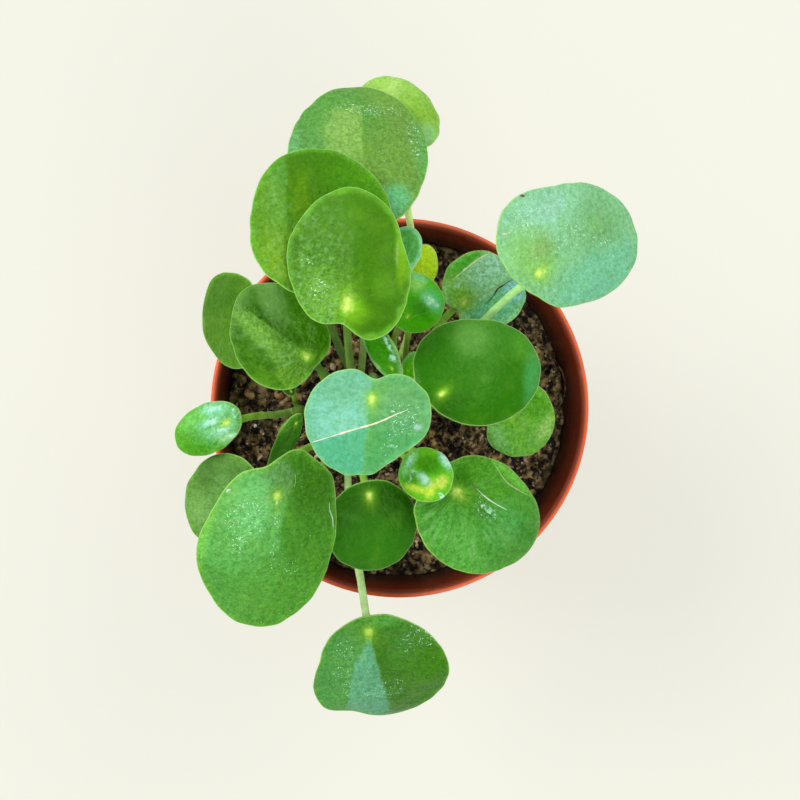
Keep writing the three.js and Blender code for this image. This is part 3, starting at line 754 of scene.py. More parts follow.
def livingBladeMaterial():
    # A waxy, slightly fleshy leaf: satin gloss over a softly mottled green, fine puckers and wrinkles
    # that radiate from the stalk with painted shade in their valleys, a painted milky sheen, a bright thin
    # margin, dry white flecks, painted wet glints, and a net of veins underneath.
    material, tree = newMaterial("living pilea blade")
    place = addNode(tree, "TexCoord").outputs["Object"]
    fanned = addNode(tree, "Attribute", {"attribute_name": "spoke"}).outputs["Vector"]
    colour = addNode(tree, "Attribute", {"attribute_name": "paint"})
    rim, rib, under, shine, dust, painted_sheen, painted_glint, pucker, wrinkle = (
        addNode(tree, "Attribute", {"attribute_name": title}).outputs["Fac"]
        for title in ("rim", "rib", "under", "shine", "dust", "painted_sheen", "painted_glint", "pucker", "wrinkle")
    )
    noise = {}
    for patterns, where in ((skinPatterns, place), (fannedPatterns, fanned)):
        for title, (size, detail, roughness) in patterns.items():
            settings = {"Scale": 1 / (size * mm), "Detail": detail, "Roughness": roughness}
            noise[title] = addNode(tree, "TexNoise", settings, {"Vector": where})
    eased = {"interpolation_type": "SMOOTHSTEP"}
    product, total, larger = {"operation": "MULTIPLY"}, {"operation": "ADD"}, {"operation": "MAXIMUM"}

    uneven = addNode(tree, "MapRange", {**eased, 1: 0.2, 2: 1.0, 3: 0.4, 4: 1.0}, {0: pucker})
    share = addNode(tree, "MapRange", {**eased, 1: 0.36, 2: 0.66, 3: 0.0, 4: 0.7}, {0: noise["mottle"]})
    share = addNode(tree, "Math", product, {0: share, 1: uneven})
    colour = addNode(tree, "Mix", {**darkening, 7: toColour("#9cc07a")}, {0: share, 6: colour})
    share = addNode(tree, "MapRange", {**eased, 1: 0.42, 2: 0.6, 3: 0.0, 4: 0.34}, {0: noise["crisp"]})
    share = addNode(tree, "Math", product, {0: share, 1: uneven})
    colour = addNode(tree, "Mix", {**darkening, 7: toColour("#86b066")}, {0: share, 6: colour})
    # painted shade in the valleys between the wrinkles
    share = addNode(tree, "MapRange", {**eased, 1: 0.36, 2: 0.52, 3: 0.5, 4: 0.0}, {0: noise["wrinkle"]})
    share = addNode(tree, "Math", product, {0: share, 1: wrinkle})
    colour = addNode(tree, "Mix", {**darkening, 7: toColour("#9cbf78")}, {0: share, 6: colour})

    # painted milky sheen, in streaks where the leaf is wrinkled, and a faint yellower cast
    streaky = addNode(tree, "MapRange", {**eased, 1: 0.15, 2: 0.7, 3: 0.0, 4: 1.0}, {0: wrinkle})
    share = addNode(tree, "Mix", {}, {0: streaky, 2: noise["glint"], 3: noise["streak"]})
    share = addNode(tree, "MapRange", {**eased, 1: 0.45, 2: 0.7, 3: 0.0, 4: 0.6}, {0: share})
    share = addNode(tree, "Math", product, {0: painted_sheen, 1: share})
    colour = addNode(tree, "Mix", {**covering, 7: toColour("#88c474")}, {0: share, 6: colour})
    share = addNode(tree, "MapRange", {**eased, 1: 0.5, 2: 0.75, 3: 0.0, 4: 0.1}, {0: noise["broad"]})
    colour = addNode(tree, "Mix", {**covering, 7: toColour("#88bd30")}, {0: share, 6: colour})

    # ribs, the net of veins underneath, and the margin
    ribShare = addNode(tree, "MapRange", {**eased, 1: 0, 2: 1, 3: 0.03, 4: 0.5}, {0: under})
    ribShare = addNode(tree, "Math", product, {0: rib, 1: ribShare})
    settings = {"feature": "DISTANCE_TO_EDGE", "Scale": 1 / (2.4 * mm)}
    net = addNode(tree, "TexVoronoi", settings, {"Vector": place})
    veins = addNode(tree, "MapRange", {**eased, 1: 0.0, 2: 0.1, 3: 1.0, 4: 0.0}, {0: net})
    veins = addNode(tree, "Math", product, {0: veins, 1: under})
    share = addNode(tree, "MapRange", {**eased, 1: 0, 2: 1, 3: 0, 4: 0.25}, {0: under})
    share = addNode(tree, "Math", product, {0: veins, 1: share})
    share = addNode(tree, "Math", larger, {0: ribShare, 1: share})
    colour = addNode(tree, "Mix", {**covering, 7: toColour("#a8d56c")}, {0: share, 6: colour})
    share = addNode(tree, "MapRange", {**eased, 1: 0.06, 2: 0.45, 3: 0.65, 4: 0.0}, {0: rim})
    colour = addNode(tree, "Mix", {**covering, 7: toColour("#aad870")}, {0: share, 6: colour})

    # dry flecks, and painted wet glints
    dusting = addNode(tree, "MapRange", {**eased, 1: 0, 2: 1, 3: -0.06, 4: 0.1}, {0: dust})
    fleck = addNode(tree, "Math", total, {0: noise["fleck"], 1: dusting})
    fleck = addNode(tree, "MapRange", {**eased, 1: 0.7, 2: 0.73, 3: 0.0, 4: 1.0}, {0: fleck})
    share = addNode(tree, "MapRange", {**eased, 1: 0.3, 2: 0.55, 3: 0.5, 4: 0.95}, {0: noise["pores"]})
    share = addNode(tree, "Math", product, {0: fleck, 1: share})
    colour = addNode(tree, "Mix", {**covering, 7: toColour("#c8f4d8")}, {0: share, 6: colour})
    painted_glint_boost = addNode(tree, "MapRange", {**eased, 1: 0, 2: 1, 3: -0.3, 4: 0.16}, {0: painted_glint})
    share = addNode(tree, "Math", total, {0: noise["painted_glint"], 1: painted_glint_boost})
    share = addNode(tree, "MapRange", {**eased, 1: 0.4, 2: 0.78, 3: 0.0, 4: 1.0}, {0: share})
    colour = addNode(tree, "Mix", {**covering, 7: toColour("#c0f4dc")}, {0: share, 6: colour})

    dull = addNode(tree, "MapRange", {**eased, 1: 0.0, 2: 1.0, 3: 0.5, 4: 0.12}, {0: shine})
    grain = addNode(tree, "MapRange", {**eased, 1: 0.3, 2: 0.75, 3: -0.05, 4: 0.08}, {0: noise["mottle"]})
    dull = addNode(tree, "Math", total, {0: dull, 1: grain})
    grain = addNode(tree, "MapRange", {**eased, 1: 0, 2: 1, 3: 0.6, 4: 0.7}, {0: noise["pores"]})
    grain = addNode(tree, "Math", product, {0: under, 1: grain})
    dull = addNode(tree, "Math", larger, {0: dull, 1: grain})

    # relief, in millimetres: the mottling, puckers, wrinkles, fine furrows along them, and veins
    furrow = addNode(tree, "Math", {"operation": "SUBTRACT", 1: 0.5}, {0: noise["furrow"]})
    furrow = addNode(tree, "Math", {"operation": "ABSOLUTE"}, {0: furrow})
    furrow = addNode(tree, "MapRange", {**eased, 1: 0.0, 2: 0.05, 3: 1.0, 4: 0.0}, {0: furrow})
    furrow = addNode(tree, "Math", product, {0: furrow, 1: wrinkle})
    puckers = addNode(tree, "Math", product, {0: noise["pucker"], 1: pucker})
    wrinkles = addNode(tree, "Math", product, {0: noise["wrinkle"], 1: wrinkle})
    relief = addNode(tree, "Bump", {"Strength": 1, "Distance": 0.15 * mm}, {"Height": noise["mottle"]})
    for height, depth in ((puckers, 1.6), (wrinkles, 0.9), (furrow, -0.1), (veins, 0.08)):
        settings = {"Strength": 1, "Distance": depth * mm}
        relief = addNode(tree, "Bump", settings, {"Height": height, "Normal": relief})
    shader = addNode(tree, "BsdfPrincipled", {
        "IOR": 1.4, "Specular IOR Level": 0.28, "Specular Tint": (0.7, 1.0, 0.4, 1.0),
        "Subsurface Weight": 0.06, "Subsurface Radius": (0.6, 1.0, 0.2), "Subsurface Scale": 1 * mm,
    }, {"Base Color": colour, "Roughness": dull, "Normal": relief})
    addNode(tree, "OutputMaterial", {}, {"Surface": shader})
    return material


bladeMaterial = livingBladeMaterial()
blades = {}
for number, (leafName, leafLook) in enumerate(leafLooks.items()):
    blade = readBlade(leafName, leafLook.get("lean", 0))
    blade.update(look=leafLook, seed=100 + 10 * number, bend=fitBend(blade))
    blades[leafName] = blade
    buildBlade(leafName, blade, bladeMaterial)
print("blades:", len(blades))


# Healed scratches: a line through places on the blade, half its width in millimetres, and its colour.
# Each is widest at its middle and runs out at its ends.
scars = {
    "leaf_09": [
        {"line": [(1.4, 15.5), (3.6, 16.0), (6.0, 17.2), (9.2, 18.0)], "half": 0.3, "colour": "#9dc09a"},
        {"line": [(0.2, -13.0), (0.8, -13.8), (1.6, -14.2)], "half": 0.4, "colour": "#b9cfb6"},
        {"line": [(-7.0, 4.0), (-4.6, 4.6), (-2.4, 4.5)], "half": 0.15, "colour": "#8cb276"},
    ],
    "leaf_10": [{
        "line": [(14.2, -14.6), (12.8, -11.6), (11.1, -8.0), (9.2, -3.8), (7.7, -0.1), (6.2, 3.0),
                 (4.0, 6.6), (2.3, 9.8)],
        "half": 0.24, "colour": "#e8e8c8",
    }],
    "leaf_13": [
        {"line": [(4.2, 13.6), (8.6, 12.3), (12.8, 11.8), (17.0, 12.4), (21.8, 13.4)],
         "half": 0.2, "colour": "#a8bd7d"},
        {"line": [(4.4, 4.4), (7.6, 4.2), (11.8, 4.5), (17.6, 5.6)], "half": 0.18, "colour": "#d4f0dc"},
        {"line": [(2.2, 4.8), (3.4, 4.4), (4.6, 4.5)], "half": 0.3, "colour": "#606a40"},
    ],
    "leaf_16": [
        {"line": [(11.4, 20.4), (12.0, 20.0), (12.6, 19.4)], "half": 0.35, "colour": "#6a533e"},
        {"line": [(-1.6, 15.6), (-0.3, 14.8), (1.0, 14.4)], "half": 0.4, "colour": "#c0cfb6"},
    ],
    "leaf_17": [
        {"line": [(1.2, 7.2), (5.0, 7.4), (8.4, 7.6), (12.4, 7.6), (16.8, 7.2)],
         "half": 0.3, "colour": "#cfe8a8"},
        {"line": [(1.6, -1.2), (7.4, -1.8), (12.6, -2.2), (17.8, -2.4)],
         "half": 0.3, "colour": "#8fbd88"},
        {"line": [(5.6, -4.6), (9.3, -3.9), (12.0, -3.0), (14.0, -3.1), (17.8, -3.3)],
         "half": 0.2, "colour": "#404529"},
    ],
}
scarShape = {"rows": 60, "columns": 8, "height": 0.1 * mm, "endAngle": 0.12, "raggedSize": 2.2 * mm}


def scarMaterial():
    # Dry healed tissue: pale, rough and a little grainy, without the leaf's wax.
    material, tree = newMaterial("dry healed leaf scar")
    place = addNode(tree, "TexCoord").outputs["Object"]
    paint = addNode(tree, "Attribute", {"attribute_name": "paint"})
    grain = addNode(tree, "TexNoise", {"Scale": 1 / (0.8 * mm), "Detail": 4}, {"Vector": place})
    share = addNode(tree, "MapRange", {1: 0.4, 2: 0.7, 3: 0.0, 4: 0.6}, {0: grain})
    colour = addNode(tree, "Mix", {**darkening, 7: toColour("#dccca8")}, {0: share, 6: paint})
    bump = addNode(tree, "Bump", {"Strength": 0.5, "Distance": 0.06 * mm}, {"Height": grain})
    links = {"Base Color": colour, "Normal": bump}
    shader = addNode(tree, "BsdfPrincipled", {"Roughness": 0.6, "IOR": 1.4}, links)
    addNode(tree, "OutputMaterial", {}, {"Surface": shader})
    return material


def buildScars(name, lines, material):
    # A low ridge along each line: flattened circles carried along it, half sunk in the blade.
    blade = blades[name]
    skins, faces, paints = [], [], []
    for line in lines:
        flat = throughPoints(np.array(line["line"]) * mm, scarShape["rows"])
        path = onBlade(blade, flat)
        end = scarShape["endAngle"]
        swell = np.sin(np.linspace(end, np.pi - end, scarShape["rows"])) ** 0.7
        ragged = 1 + 0.3 * ripples(path, scarShape["raggedSize"], blade["seed"] + 7)
        width = line["half"] * mm * swell * ragged
        normal = blade["axes"][2]
        forward = unit(np.gradient(path, axis=0))
        across = unit(np.cross(normal, forward))
        turn = np.arange(scarShape["columns"]) * 2 * np.pi / scarShape["columns"]
        sideways = across[:, None] * (np.cos(turn)[:, None] * width[:, None, None])
        upwards = normal * np.sin(turn)[:, None] * (scarShape["height"] * swell)[:, None, None]
        rings = (path[:, None] + sideways - upwards)[::-1]
        skin = shellPoints(path[-1], rings, path[0])
        first = sum(len(other) for other in skins)
        faces += [face + first for face in shellFaces(scarShape["rows"], scarShape["columns"])]
        skins.append(skin)
        paints.append(np.broadcast_to(toLinear(line["colour"]), skin.shape))
    makePiece(name + "_scar", np.concatenate(skins), faces, material, (), np.concatenate(paints))


healedMaterial = scarMaterial()
for leafName, lines in scars.items():
    buildScars(leafName, lines, healedMaterial)
print("scars:", len(scars))


stemSides = 10  # corners in each ring of a stem in the frame
shootShape = {"rows": 70, "columns": 36, "scars": 5, "scarSize": (0.9, 0.6), "rough": 0.1}
stemShape = {
    "main_stem": {"rows": 150, "columns": 56, "scars": 17, "scarSize": (1.5, 0.95), "rough": 0.28},
    "side_shoot_left": shootShape,
    "side_shoot_right": shootShape,
}


def readStem(name):
    # Middles of the stem's rings from its foot up: its corners in order of height, a ring at a time.
    points = frameMesh(name)[0]
    rings = points[np.argsort(points[:, 2])].reshape(-1, stemSides, 3)
    middles = rings.mean(1)
    return middles, np.linalg.norm(rings - middles[:, None], axis=2).mean()


def buildStem(name, material):
    # Circles along the stem's own line, knobbly with the cushions and oval scars of fallen leaves,
    # which climb it in a spiral of 137.5 degrees, and rounded off at the top.
    shape = stemShape[name]
    middles, radius = readStem(name)
    path = throughPoints(middles, shape["rows"])
    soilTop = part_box("soil")[1].z
    height = path[:, 2]
    crown = np.clip((height[-1] - height) / radius, 0, 1)
    radii = radius * np.sqrt(1 - (1 - crown) ** 2).clip(0.12)
    radii = radii * (1 + 0.14 * np.exp(-np.maximum(height - soilTop, 0) / (5 * mm)))
    rings = tubeSkin(path, radii, shape["columns"], eastwards)
    middle = path[::-1][:, None]
    bearing = np.arctan2(rings[..., 1] - middle[..., 1], rings[..., 0] - middle[..., 0])
    level = rings[..., 2]
    outwards = unit(rings - middle)
    bump = ripples(rings, 2.6 * mm, 40) * shape["rough"] * mm
    scar = np.zeros(level.shape)
    rim = np.zeros(level.shape)
    for k in range(shape["scars"]):
        angle = np.radians(137.5) * k
        at = soilTop + (k + 0.8) / shape["scars"] * (height[-1] - soilTop - radius)
        aside = np.angle(np.exp(1j * (bearing - angle))) * radius / mm / shape["scarSize"][0]
        distance = np.hypot(aside, (level - at) / mm / shape["scarSize"][1])
        scar = np.maximum(scar, 1 - smoothStep(0.75, 1.0, distance))
        rim = np.maximum(rim, np.exp(-((distance - 1.1) / 0.22) ** 2))
    bump = bump + (0.3 * rim - 0.1 * scar) * mm * radius / (4 * mm)
    rings = rings + outwards * bump[..., None] * crown[::-1][:, None, None]
    young = smoothStep(0.35, 1.0, (level - soilTop) / (height[-1] - soilTop))
    mottle = ripples(rings, 1.8 * mm, 41)
    colour = mixed(toLinear("#56482a"), toLinear("#5e8420"), young)
    colour = mixed(colour, toLinear("#8a8048"), (0.25 + 0.2 * np.clip(mottle, -1, 1)) * (1 - 0.6 * young))
    colour = mixed(colour, toLinear("#b3a273"), 0.7 * scar)
    colour = mixed(colour, toLinear("#352616"), 0.7 * rim)
    colour = mixed(colour, toLinear("#261a11"), np.exp(-np.maximum(level - soilTop, 0) / (1.6 * mm)))
    top, foot = path[-1] + up * 0.1 * mm, path[0]
    points = shellPoints(top, rings, foot)
    paint = shellPoints(colour[0, 0], colour, colour[-1, 0])
    makePiece(name + "_bark", points, shellFaces(*level.shape), material, [name], paint)


def greenSkinMaterial(name, dull, speckSize, relief):
    # Thin green skin with fine darker streaks and a soft sheen, a little translucent.
    material, tree = newMaterial(name)
    place = addNode(tree, "TexCoord").outputs["Object"]
    paint = addNode(tree, "Attribute", {"attribute_name": "paint"})
    coarse = addNode(tree, "TexNoise", {"Scale": 1 / speckSize, "Detail": 5}, {"Vector": place})
    grain = addNode(tree, "TexNoise", {"Scale": 5 / speckSize, "Detail": 2}, {"Vector": place})
    share = addNode(tree, "MapRange", {1: 0.35, 2: 0.7, 3: 0.0, 4: 0.4}, {0: coarse})
    colour = addNode(tree, "Mix", {**darkening, 7: toColour("#b4c090")}, {0: share, 6: paint})
    gloss = addNode(tree, "MapRange", {1: 0.3, 2: 0.7, 3: dull - 0.08, 4: dull + 0.1}, {0: coarse})
    bump = addNode(tree, "Bump", {"Strength": 0.5, "Distance": relief}, {"Height": grain})
    shader = addNode(tree, "BsdfPrincipled", {
        "IOR": 1.43, "Subsurface Weight": 0.15, "Subsurface Radius": (0.7, 1.0, 0.3),
        "Subsurface Scale": 1 * mm,
    }, {"Base Color": colour, "Roughness": gloss, "Normal": bump})
    addNode(tree, "OutputMaterial", {}, {"Surface": shader})
    return material


barkMaterial = greenSkinMaterial("corky green stem", 0.62, 1.4 * mm, 0.12 * mm)
for stemName in stemShape:
    buildStem(stemName, barkMaterial)
print("stems:", len(stemShape))


# foot and neck are the stalk's colours at the stem and under the blade.
stalkLooks = {
    "usual": {"foot": "#6c8c26", "neck": "#94cc40"},
    "stalk_01": {"foot": "#b4dc70", "neck": "#e4ffa0"},
    "stalk_02": {"foot": "#5c8024", "neck": "#d4f48c"},
    "stalk_03": {"foot": "#4c6618", "neck": "#5c8420"},
    "stalk_04": {"foot": "#50701a", "neck": "#62901e"},
    "stalk_06": {"foot": "#4c6a18", "neck": "#5c8a20"},
    "stalk_07": {"foot": "#b0dc70", "neck": "#a4d84c"},
    "stalk_08": {"foot": "#8ca048", "neck": "#9cc850"},
    "stalk_10": {"foot": "#5c7c24", "neck": "#40701a"},
    "stalk_15": {"foot": "#7ca034", "neck": "#86b840"},
    "stalk_16": {"foot": "#98c868", "neck": "#b4f094"},
    "stalk_18": {"foot": "#6c8a34", "neck": "#84a83c"},
    # lifted nearly to white to paint light into its shade
    "stalk_26": {"foot": "#ccff98", "neck": "#d8ffac"},
}
stalkShape = {
    "rows": 90, "columns": 14, "swell": 0.45, "swellLength": 3.5 * mm, "flare": 0.5,
    "flareLength": 1.3 * mm, "intoStem": 0.62, "footDrop": 0.6 * mm, "hubClearance": 3 * mm,
    "underBlade": (2.1 * mm, 0.6 * mm),
}
stemLines = [throughPoints(readStem(name)[0], 200) for name in stemShape]


def buildStalk(number, material):
    # Circles along the stalk's line, from inside the nearest stem to the blade's underside, swollen at the
    # foot and flaring where it joins the blade.
    name = "stalk_%02d" % number
    blade = blades["leaf_%02d" % number]
    middles, radius = readTube(name, blade["hub"])
    middles = middles[::-1]
    nearest = [line[np.argmin(np.linalg.norm(line - middles[0], axis=1))] for line in stemLines]
    stem = min(nearest, key=lambda point: np.linalg.norm(point - middles[0]))
    foot = middles[0] + (stem - middles[0]) * stalkShape["intoStem"] - up * stalkShape["footDrop"]
    depths = np.array(stalkShape["underBlade"])[:, None]
    below = onBlade(blade, np.zeros((1, 2))) - blade["axes"][2] * depths
    middles = middles[np.linalg.norm(middles - blade["hub"], axis=1) > stalkShape["hubClearance"]]
    path = throughPoints(np.concatenate([[foot], middles, below]), stalkShape["rows"])
    run = np.concatenate([[0], np.cumsum(np.linalg.norm(np.diff(path, axis=0), axis=1))])
    left = run[-1] - run
    radii = radius * (0.92 + stalkShape["swell"] * np.exp(-run / stalkShape["swellLength"]))
    radii = radii + radius * stalkShape["flare"] * np.exp(-left / stalkShape["flareLength"])
    sideways = unit(np.cross(path[-1] - path[0], up) + 1e-9)
    rings = tubeSkin(path, radii, stalkShape["columns"], sideways)
    wobble = ripples(rings, 5 * mm, 300 + number) * 0.05 * radius
    rings = rings + unit(rings - path[::-1][:, None]) * wobble[..., None]
    look = stalkLooks.get(name, stalkLooks["usual"])
    share = (run / run[-1])[::-1][:, None] + 0 * rings[..., 0]
    colour = mixed(toLinear(look["foot"]), toLinear(look["neck"]), smoothStep(0.0, 0.9, share))
    colour = mixed(colour, toLinear("#6b6235"), 0.5 * np.exp(-share * run[-1] / (3 * mm)))
    tone = 1 + 0.1 * ripples(rings * (1, 1, 0.3), 4 * mm, 330 + number)
    colour = colour * tone[..., None]
    points = shellPoints(path[-1], rings, path[0])
    paint = shellPoints(colour[0, 0], colour, colour[-1, 0])
    makePiece(name + "_skin", points, shellFaces(*share.shape), material, [name], paint)


stalkMaterial = greenSkinMaterial("juicy leaf stalk", 0.42, 1.1 * mm, 0.04 * mm)
for stalkNumber in range(1, len(blades) + 1):
    buildStalk(stalkNumber, stalkMaterial)
print("stalks:", len(blades))


potShape = {
    "columns": 192, "cornerSteps": 5,
    # radius and height in millimetres: up the inside from the floor's middle, over the lip and down the
    # outside, with each corner's rounding
    "profile": (
        (39.7, 1.6, 1.2), (52.9, 80.2, 1.0), (54.7, 82.6, 1.0), (57.3, 96.4, 0.5), (57.7, 98.0, 0.7),
        (60.0, 98.0, 0.9), (60.0, 94.8, 0.7), (58.1, 94.4, 0.5), (56.1, 81.4, 0.6), (54.5, 80.0, 0.8),
        (42.0, 0.0, 1.2), (38.6, 0.0, 0.4), (38.2, 0.7, 0.4), (27.6, 0.7, 0.4), (27.2, 0.0, 0.4),
    ),
    "longestStep": 1.6 * mm,
    "holes": 8, "holeRadius": 4 * mm, "holeRing": 33 * mm, "drillRows": 4, "drillSides": 40,
    "drillReach": (-4 * mm, 6 * mm),
}


def roundedProfile(corners, steps):
    # Straight runs with each corner turned into a short curve between points its rounding away.
    corners = np.array(corners)
    spots, rounding = corners[:, :2] * mm, corners[:, 2] * mm
    before = np.concatenate([[[0, spots[0, 1]]], spots[:-1]])
    after = np.concatenate([spots[1:], [[0, spots[-1, 1]]]])
    share = np.linspace(0, 1, steps)[:, None]
    runs = []
    for previous, spot, following, size in zip(before, spots, after, rounding):
        start = spot + unit(previous - spot) * size
        end = spot + unit(following - spot) * size
        runs.append(start * (1 - share) ** 2 + spot * 2 * share * (1 - share) + end * share ** 2)
    return np.concatenate(runs)


def splitLong(profile, longest):
    # More points along the straight runs, none further apart than the longest step.
    pieces = []
    for one, other in zip(profile[:-1], profile[1:]):
        count = max(1, int(np.ceil(np.linalg.norm(other - one) / longest)))
        pieces.append(one + (other - one) * (np.arange(count) / count)[:, None])
    return np.concatenate(pieces + [profile[-1:]])


def potMaterial():
    # Moulded polypropylene the colour of terracotta: even orange-brown with a soft plastic gloss, faint
    # swirls from moulding, fine scuffs, and soil dust that clings inside.
    material, tree = newMaterial("terracotta polypropylene")
    place = {"Vector": addNode(tree, "TexCoord").outputs["Object"]}
    paint = addNode(tree, "Attribute", {"attribute_name": "paint"})
    grime = addNode(tree, "Attribute", {"attribute_name": "grime"}).outputs["Fac"]
    swirl = addNode(tree, "TexNoise", {"Scale": 1 / (22 * mm), "Detail": 3, "Distortion": 1.5}, place)
    dust = addNode(tree, "TexNoise", {"Scale": 1 / (1.3 * mm), "Detail": 6, "Roughness": 0.65}, place)
    grain = addNode(tree, "TexNoise", {"Scale": 1 / (0.3 * mm), "Detail": 2}, place)
    wide = {"Vector": addNode(tree, "Mapping", {"Scale": (1, 1, 14)}, place)}
    scuffs = addNode(tree, "TexNoise", {"Scale": 1 / (9 * mm), "Detail": 6, "Roughness": 0.7}, wide)
    tone = addNode(tree, "MapRange", {1: 0.3, 2: 0.7, 3: 0.0, 4: 0.35}, {0: swirl})
    colour = addNode(tree, "Mix", {**darkening, 7: toColour("#e2c0ae")}, {0: tone, 6: paint})
    scuff = addNode(tree, "MapRange", {1: 0.62, 2: 0.72, 3: 0.0, 4: 0.16}, {0: scuffs})
    colour = addNode(tree, "Mix", {**covering, 7: toColour("#e9b493")}, {0: scuff, 6: colour})
    specks = addNode(tree, "MapRange", {1: 0.46, 2: 0.6, 3: 0.0, 4: 1.0}, {0: dust})
    clinging = addNode(tree, "Math", {"operation": "MULTIPLY"}, {0: specks, 1: grime})
    colour = addNode(tree, "Mix", {**covering, 7: toColour("#2a1a10")}, {0: clinging, 6: colour})
    gloss = addNode(tree, "MapRange", {1: 0.3, 2: 0.7, 3: 0.32, 4: 0.46}, {0: dust})
    dull = addNode(tree, "Math", {"operation": "MAXIMUM"}, {0: gloss, 1: clinging})
    bump = addNode(tree, "Bump", {"Strength": 0.3, "Distance": 0.03 * mm}, {"Height": grain})
    links = {"Height": clinging, "Normal": bump}
    crust = addNode(tree, "Bump", {"Strength": 0.6, "Distance": 0.25 * mm}, links)
    shader = addNode(tree, "BsdfPrincipled", {
        "IOR": 1.49, "Subsurface Weight": 0.06, "Subsurface Radius": (1.0, 0.4, 0.2),
        "Subsurface Scale": 1 * mm,
    }, {"Base Color": colour, "Roughness": dull, "Normal": crust})
    addNode(tree, "OutputMaterial", {}, {"Surface": shader})
    return material


def buildPot():
    # The profile turned about the pot's axis, with painted light on the brim, painted shade on the lip's
    # inner half and darkening down the inner wall, grimy near the soil, then drilled through the floor.
    potLow, potHigh = (np.array(corner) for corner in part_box("pot"))
    middle = (potLow + potHigh) / 2
    profile = roundedProfile(potShape["profile"], potShape["cornerSteps"])
    profile = splitLong(profile, potShape["longestStep"])
    outer = (potHigh - potLow)[0] / 2
    profile = profile * (outer / profile[:, 0].max(), 1)
    turn = np.arange(potShape["columns"]) * 2 * np.pi / potShape["columns"]
    circle = np.stack([np.cos(turn), np.sin(turn)], -1)
    flat = profile[:, None, :1] * circle + middle[:2]
    grid = np.concatenate([flat, np.broadcast_to(profile[:, None, 1:], (*flat.shape[:2], 1))], -1)
    inside = np.arange(len(profile)) < np.argmax(profile[:, 1])
    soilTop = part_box("soil")[1].z
    depth = (potHigh[2] - grid[..., 2]) / mm
    wall = np.broadcast_to(inside[:, None], depth.shape) * smoothStep(0.3, 1.3, depth)
    wander = ripples(grid, 16 * mm, 61) + 0.5 * ripples(grid, 5 * mm, 62)
    spread = np.linalg.norm(grid[..., :2] - middle[:2], axis=-1)
    lip = smoothStep(0.6, 1.6, (outer - spread) / mm)
    brim = 1 - smoothStep(0.2, 1.4, depth)
    # Painted light: the brim a brighter orange.
    colour = mixed(toLinear("#bc5226"), toLinear("#f4672a"), brim)
    # Painted shade on the inner half of the lip.
    colour = mixed(colour, toLinear("#7c2a0c"), lip * brim)
    # Painted shade down the inner wall, darkest deep inside.
    colour = mixed(colour, toLinear("#7a280e"), wall)
    colour = mixed(colour, toLinear("#3c1407"), wall * smoothStep(2, 12, depth))
    above = (grid[..., 2] - soilTop) / mm
    grime = wall * np.clip(0.85 * np.exp(-np.maximum(above + wander, 0) / 2.6) + 0.12, 0, 1)
    outside = (1 - np.broadcast_to(inside[:, None], depth.shape)) * (grid[..., 2] < potHigh[2] - 4 * mm)
    grime = grime + 0.16 * outside * np.clip(wander, 0, 1)
    grime = grime + 0.25 * outside * np.exp(-grid[..., 2] / (3 * mm))
    ends = [np.array([*middle[:2], profile[k, 1]]) for k in (0, -1)]
    points = shellPoints(ends[0], grid, ends[1])
    paint = shellPoints(colour[0, 0], colour, colour[-1, 0])
    dirt = shellPoints(grime[0, :1], grime[..., None], grime[-1, :1])[:, 0]
    faces = shellFaces(*grime.shape)
    pot = makePiece("pot_shell", points, faces, potMaterial(), ["pot"], paint, {"grime": dirt})
    drillHoles(pot, middle)


def drillHoles(pot, middle):
    # Round cutters through the floor, taken away from the pot by a boolean.
    rows, sides = potShape["drillRows"], potShape["drillSides"]
    depths = np.linspace(*potShape["drillReach"], rows)[:, None]
    skins, faces = [], []
    for k in range(potShape["holes"]):
        angle = (k + 0.5) * 2 * np.pi / potShape["holes"]
        aside = potShape["holeRing"] * np.array([np.cos(angle), np.sin(angle)])
        path = np.array([*(middle[:2] + aside), 0]) + up * depths
        rings = tubeSkin(path, np.full(rows, potShape["holeRadius"]), sides, eastwards)
        skin = shellPoints(path[-1], rings, path[0])
        for group in shellFaces(rows, sides):
            faces += (group + k * len(skin)).tolist()
        skins.append(skin)
    mesh = bpy.data.meshes.new("drill")
    mesh.from_pydata(np.concatenate(skins).tolist(), [], faces)
    drill = bpy.data.objects.new("drill", mesh)
    bpy.context.scene.collection.objects.link(drill)
    cut = pot.modifiers.new("drain holes", "BOOLEAN")
    cut.operation, cut.object = "DIFFERENCE", drill
    drilled = bpy.data.meshes.new_from_object(pot.evaluated_get(bpy.context.evaluated_depsgraph_get()))
    pot.modifiers.clear()
    pot.data = drilled
    bpy.data.objects.remove(drill)


buildPot()
print("pot")


soilShape = {
    "rings": 110, "columns": 260, "clods": 1.5 * mm, "clodSize": 9 * mm, "lumps": 0.7 * mm,
    "lumpSize": 3.4 * mm, "grain": 0.3 * mm, "grainSize": 1.2 * mm, "settled": 0.6 * mm,
    "edge": 54.6 * mm, "level": 83.2 * mm, "mound": 1.2 * mm,
    # radius and height under the edge, the foot's radius and the bevel above it, and a ring in the base
    "shoulder": ((53.4 * mm, 80.2 * mm), (52.7 * mm, 79.6 * mm)),
    "foot": 39 * mm, "bevel": (0.4 * mm, 0.8 * mm), "core": 14 * mm,
}
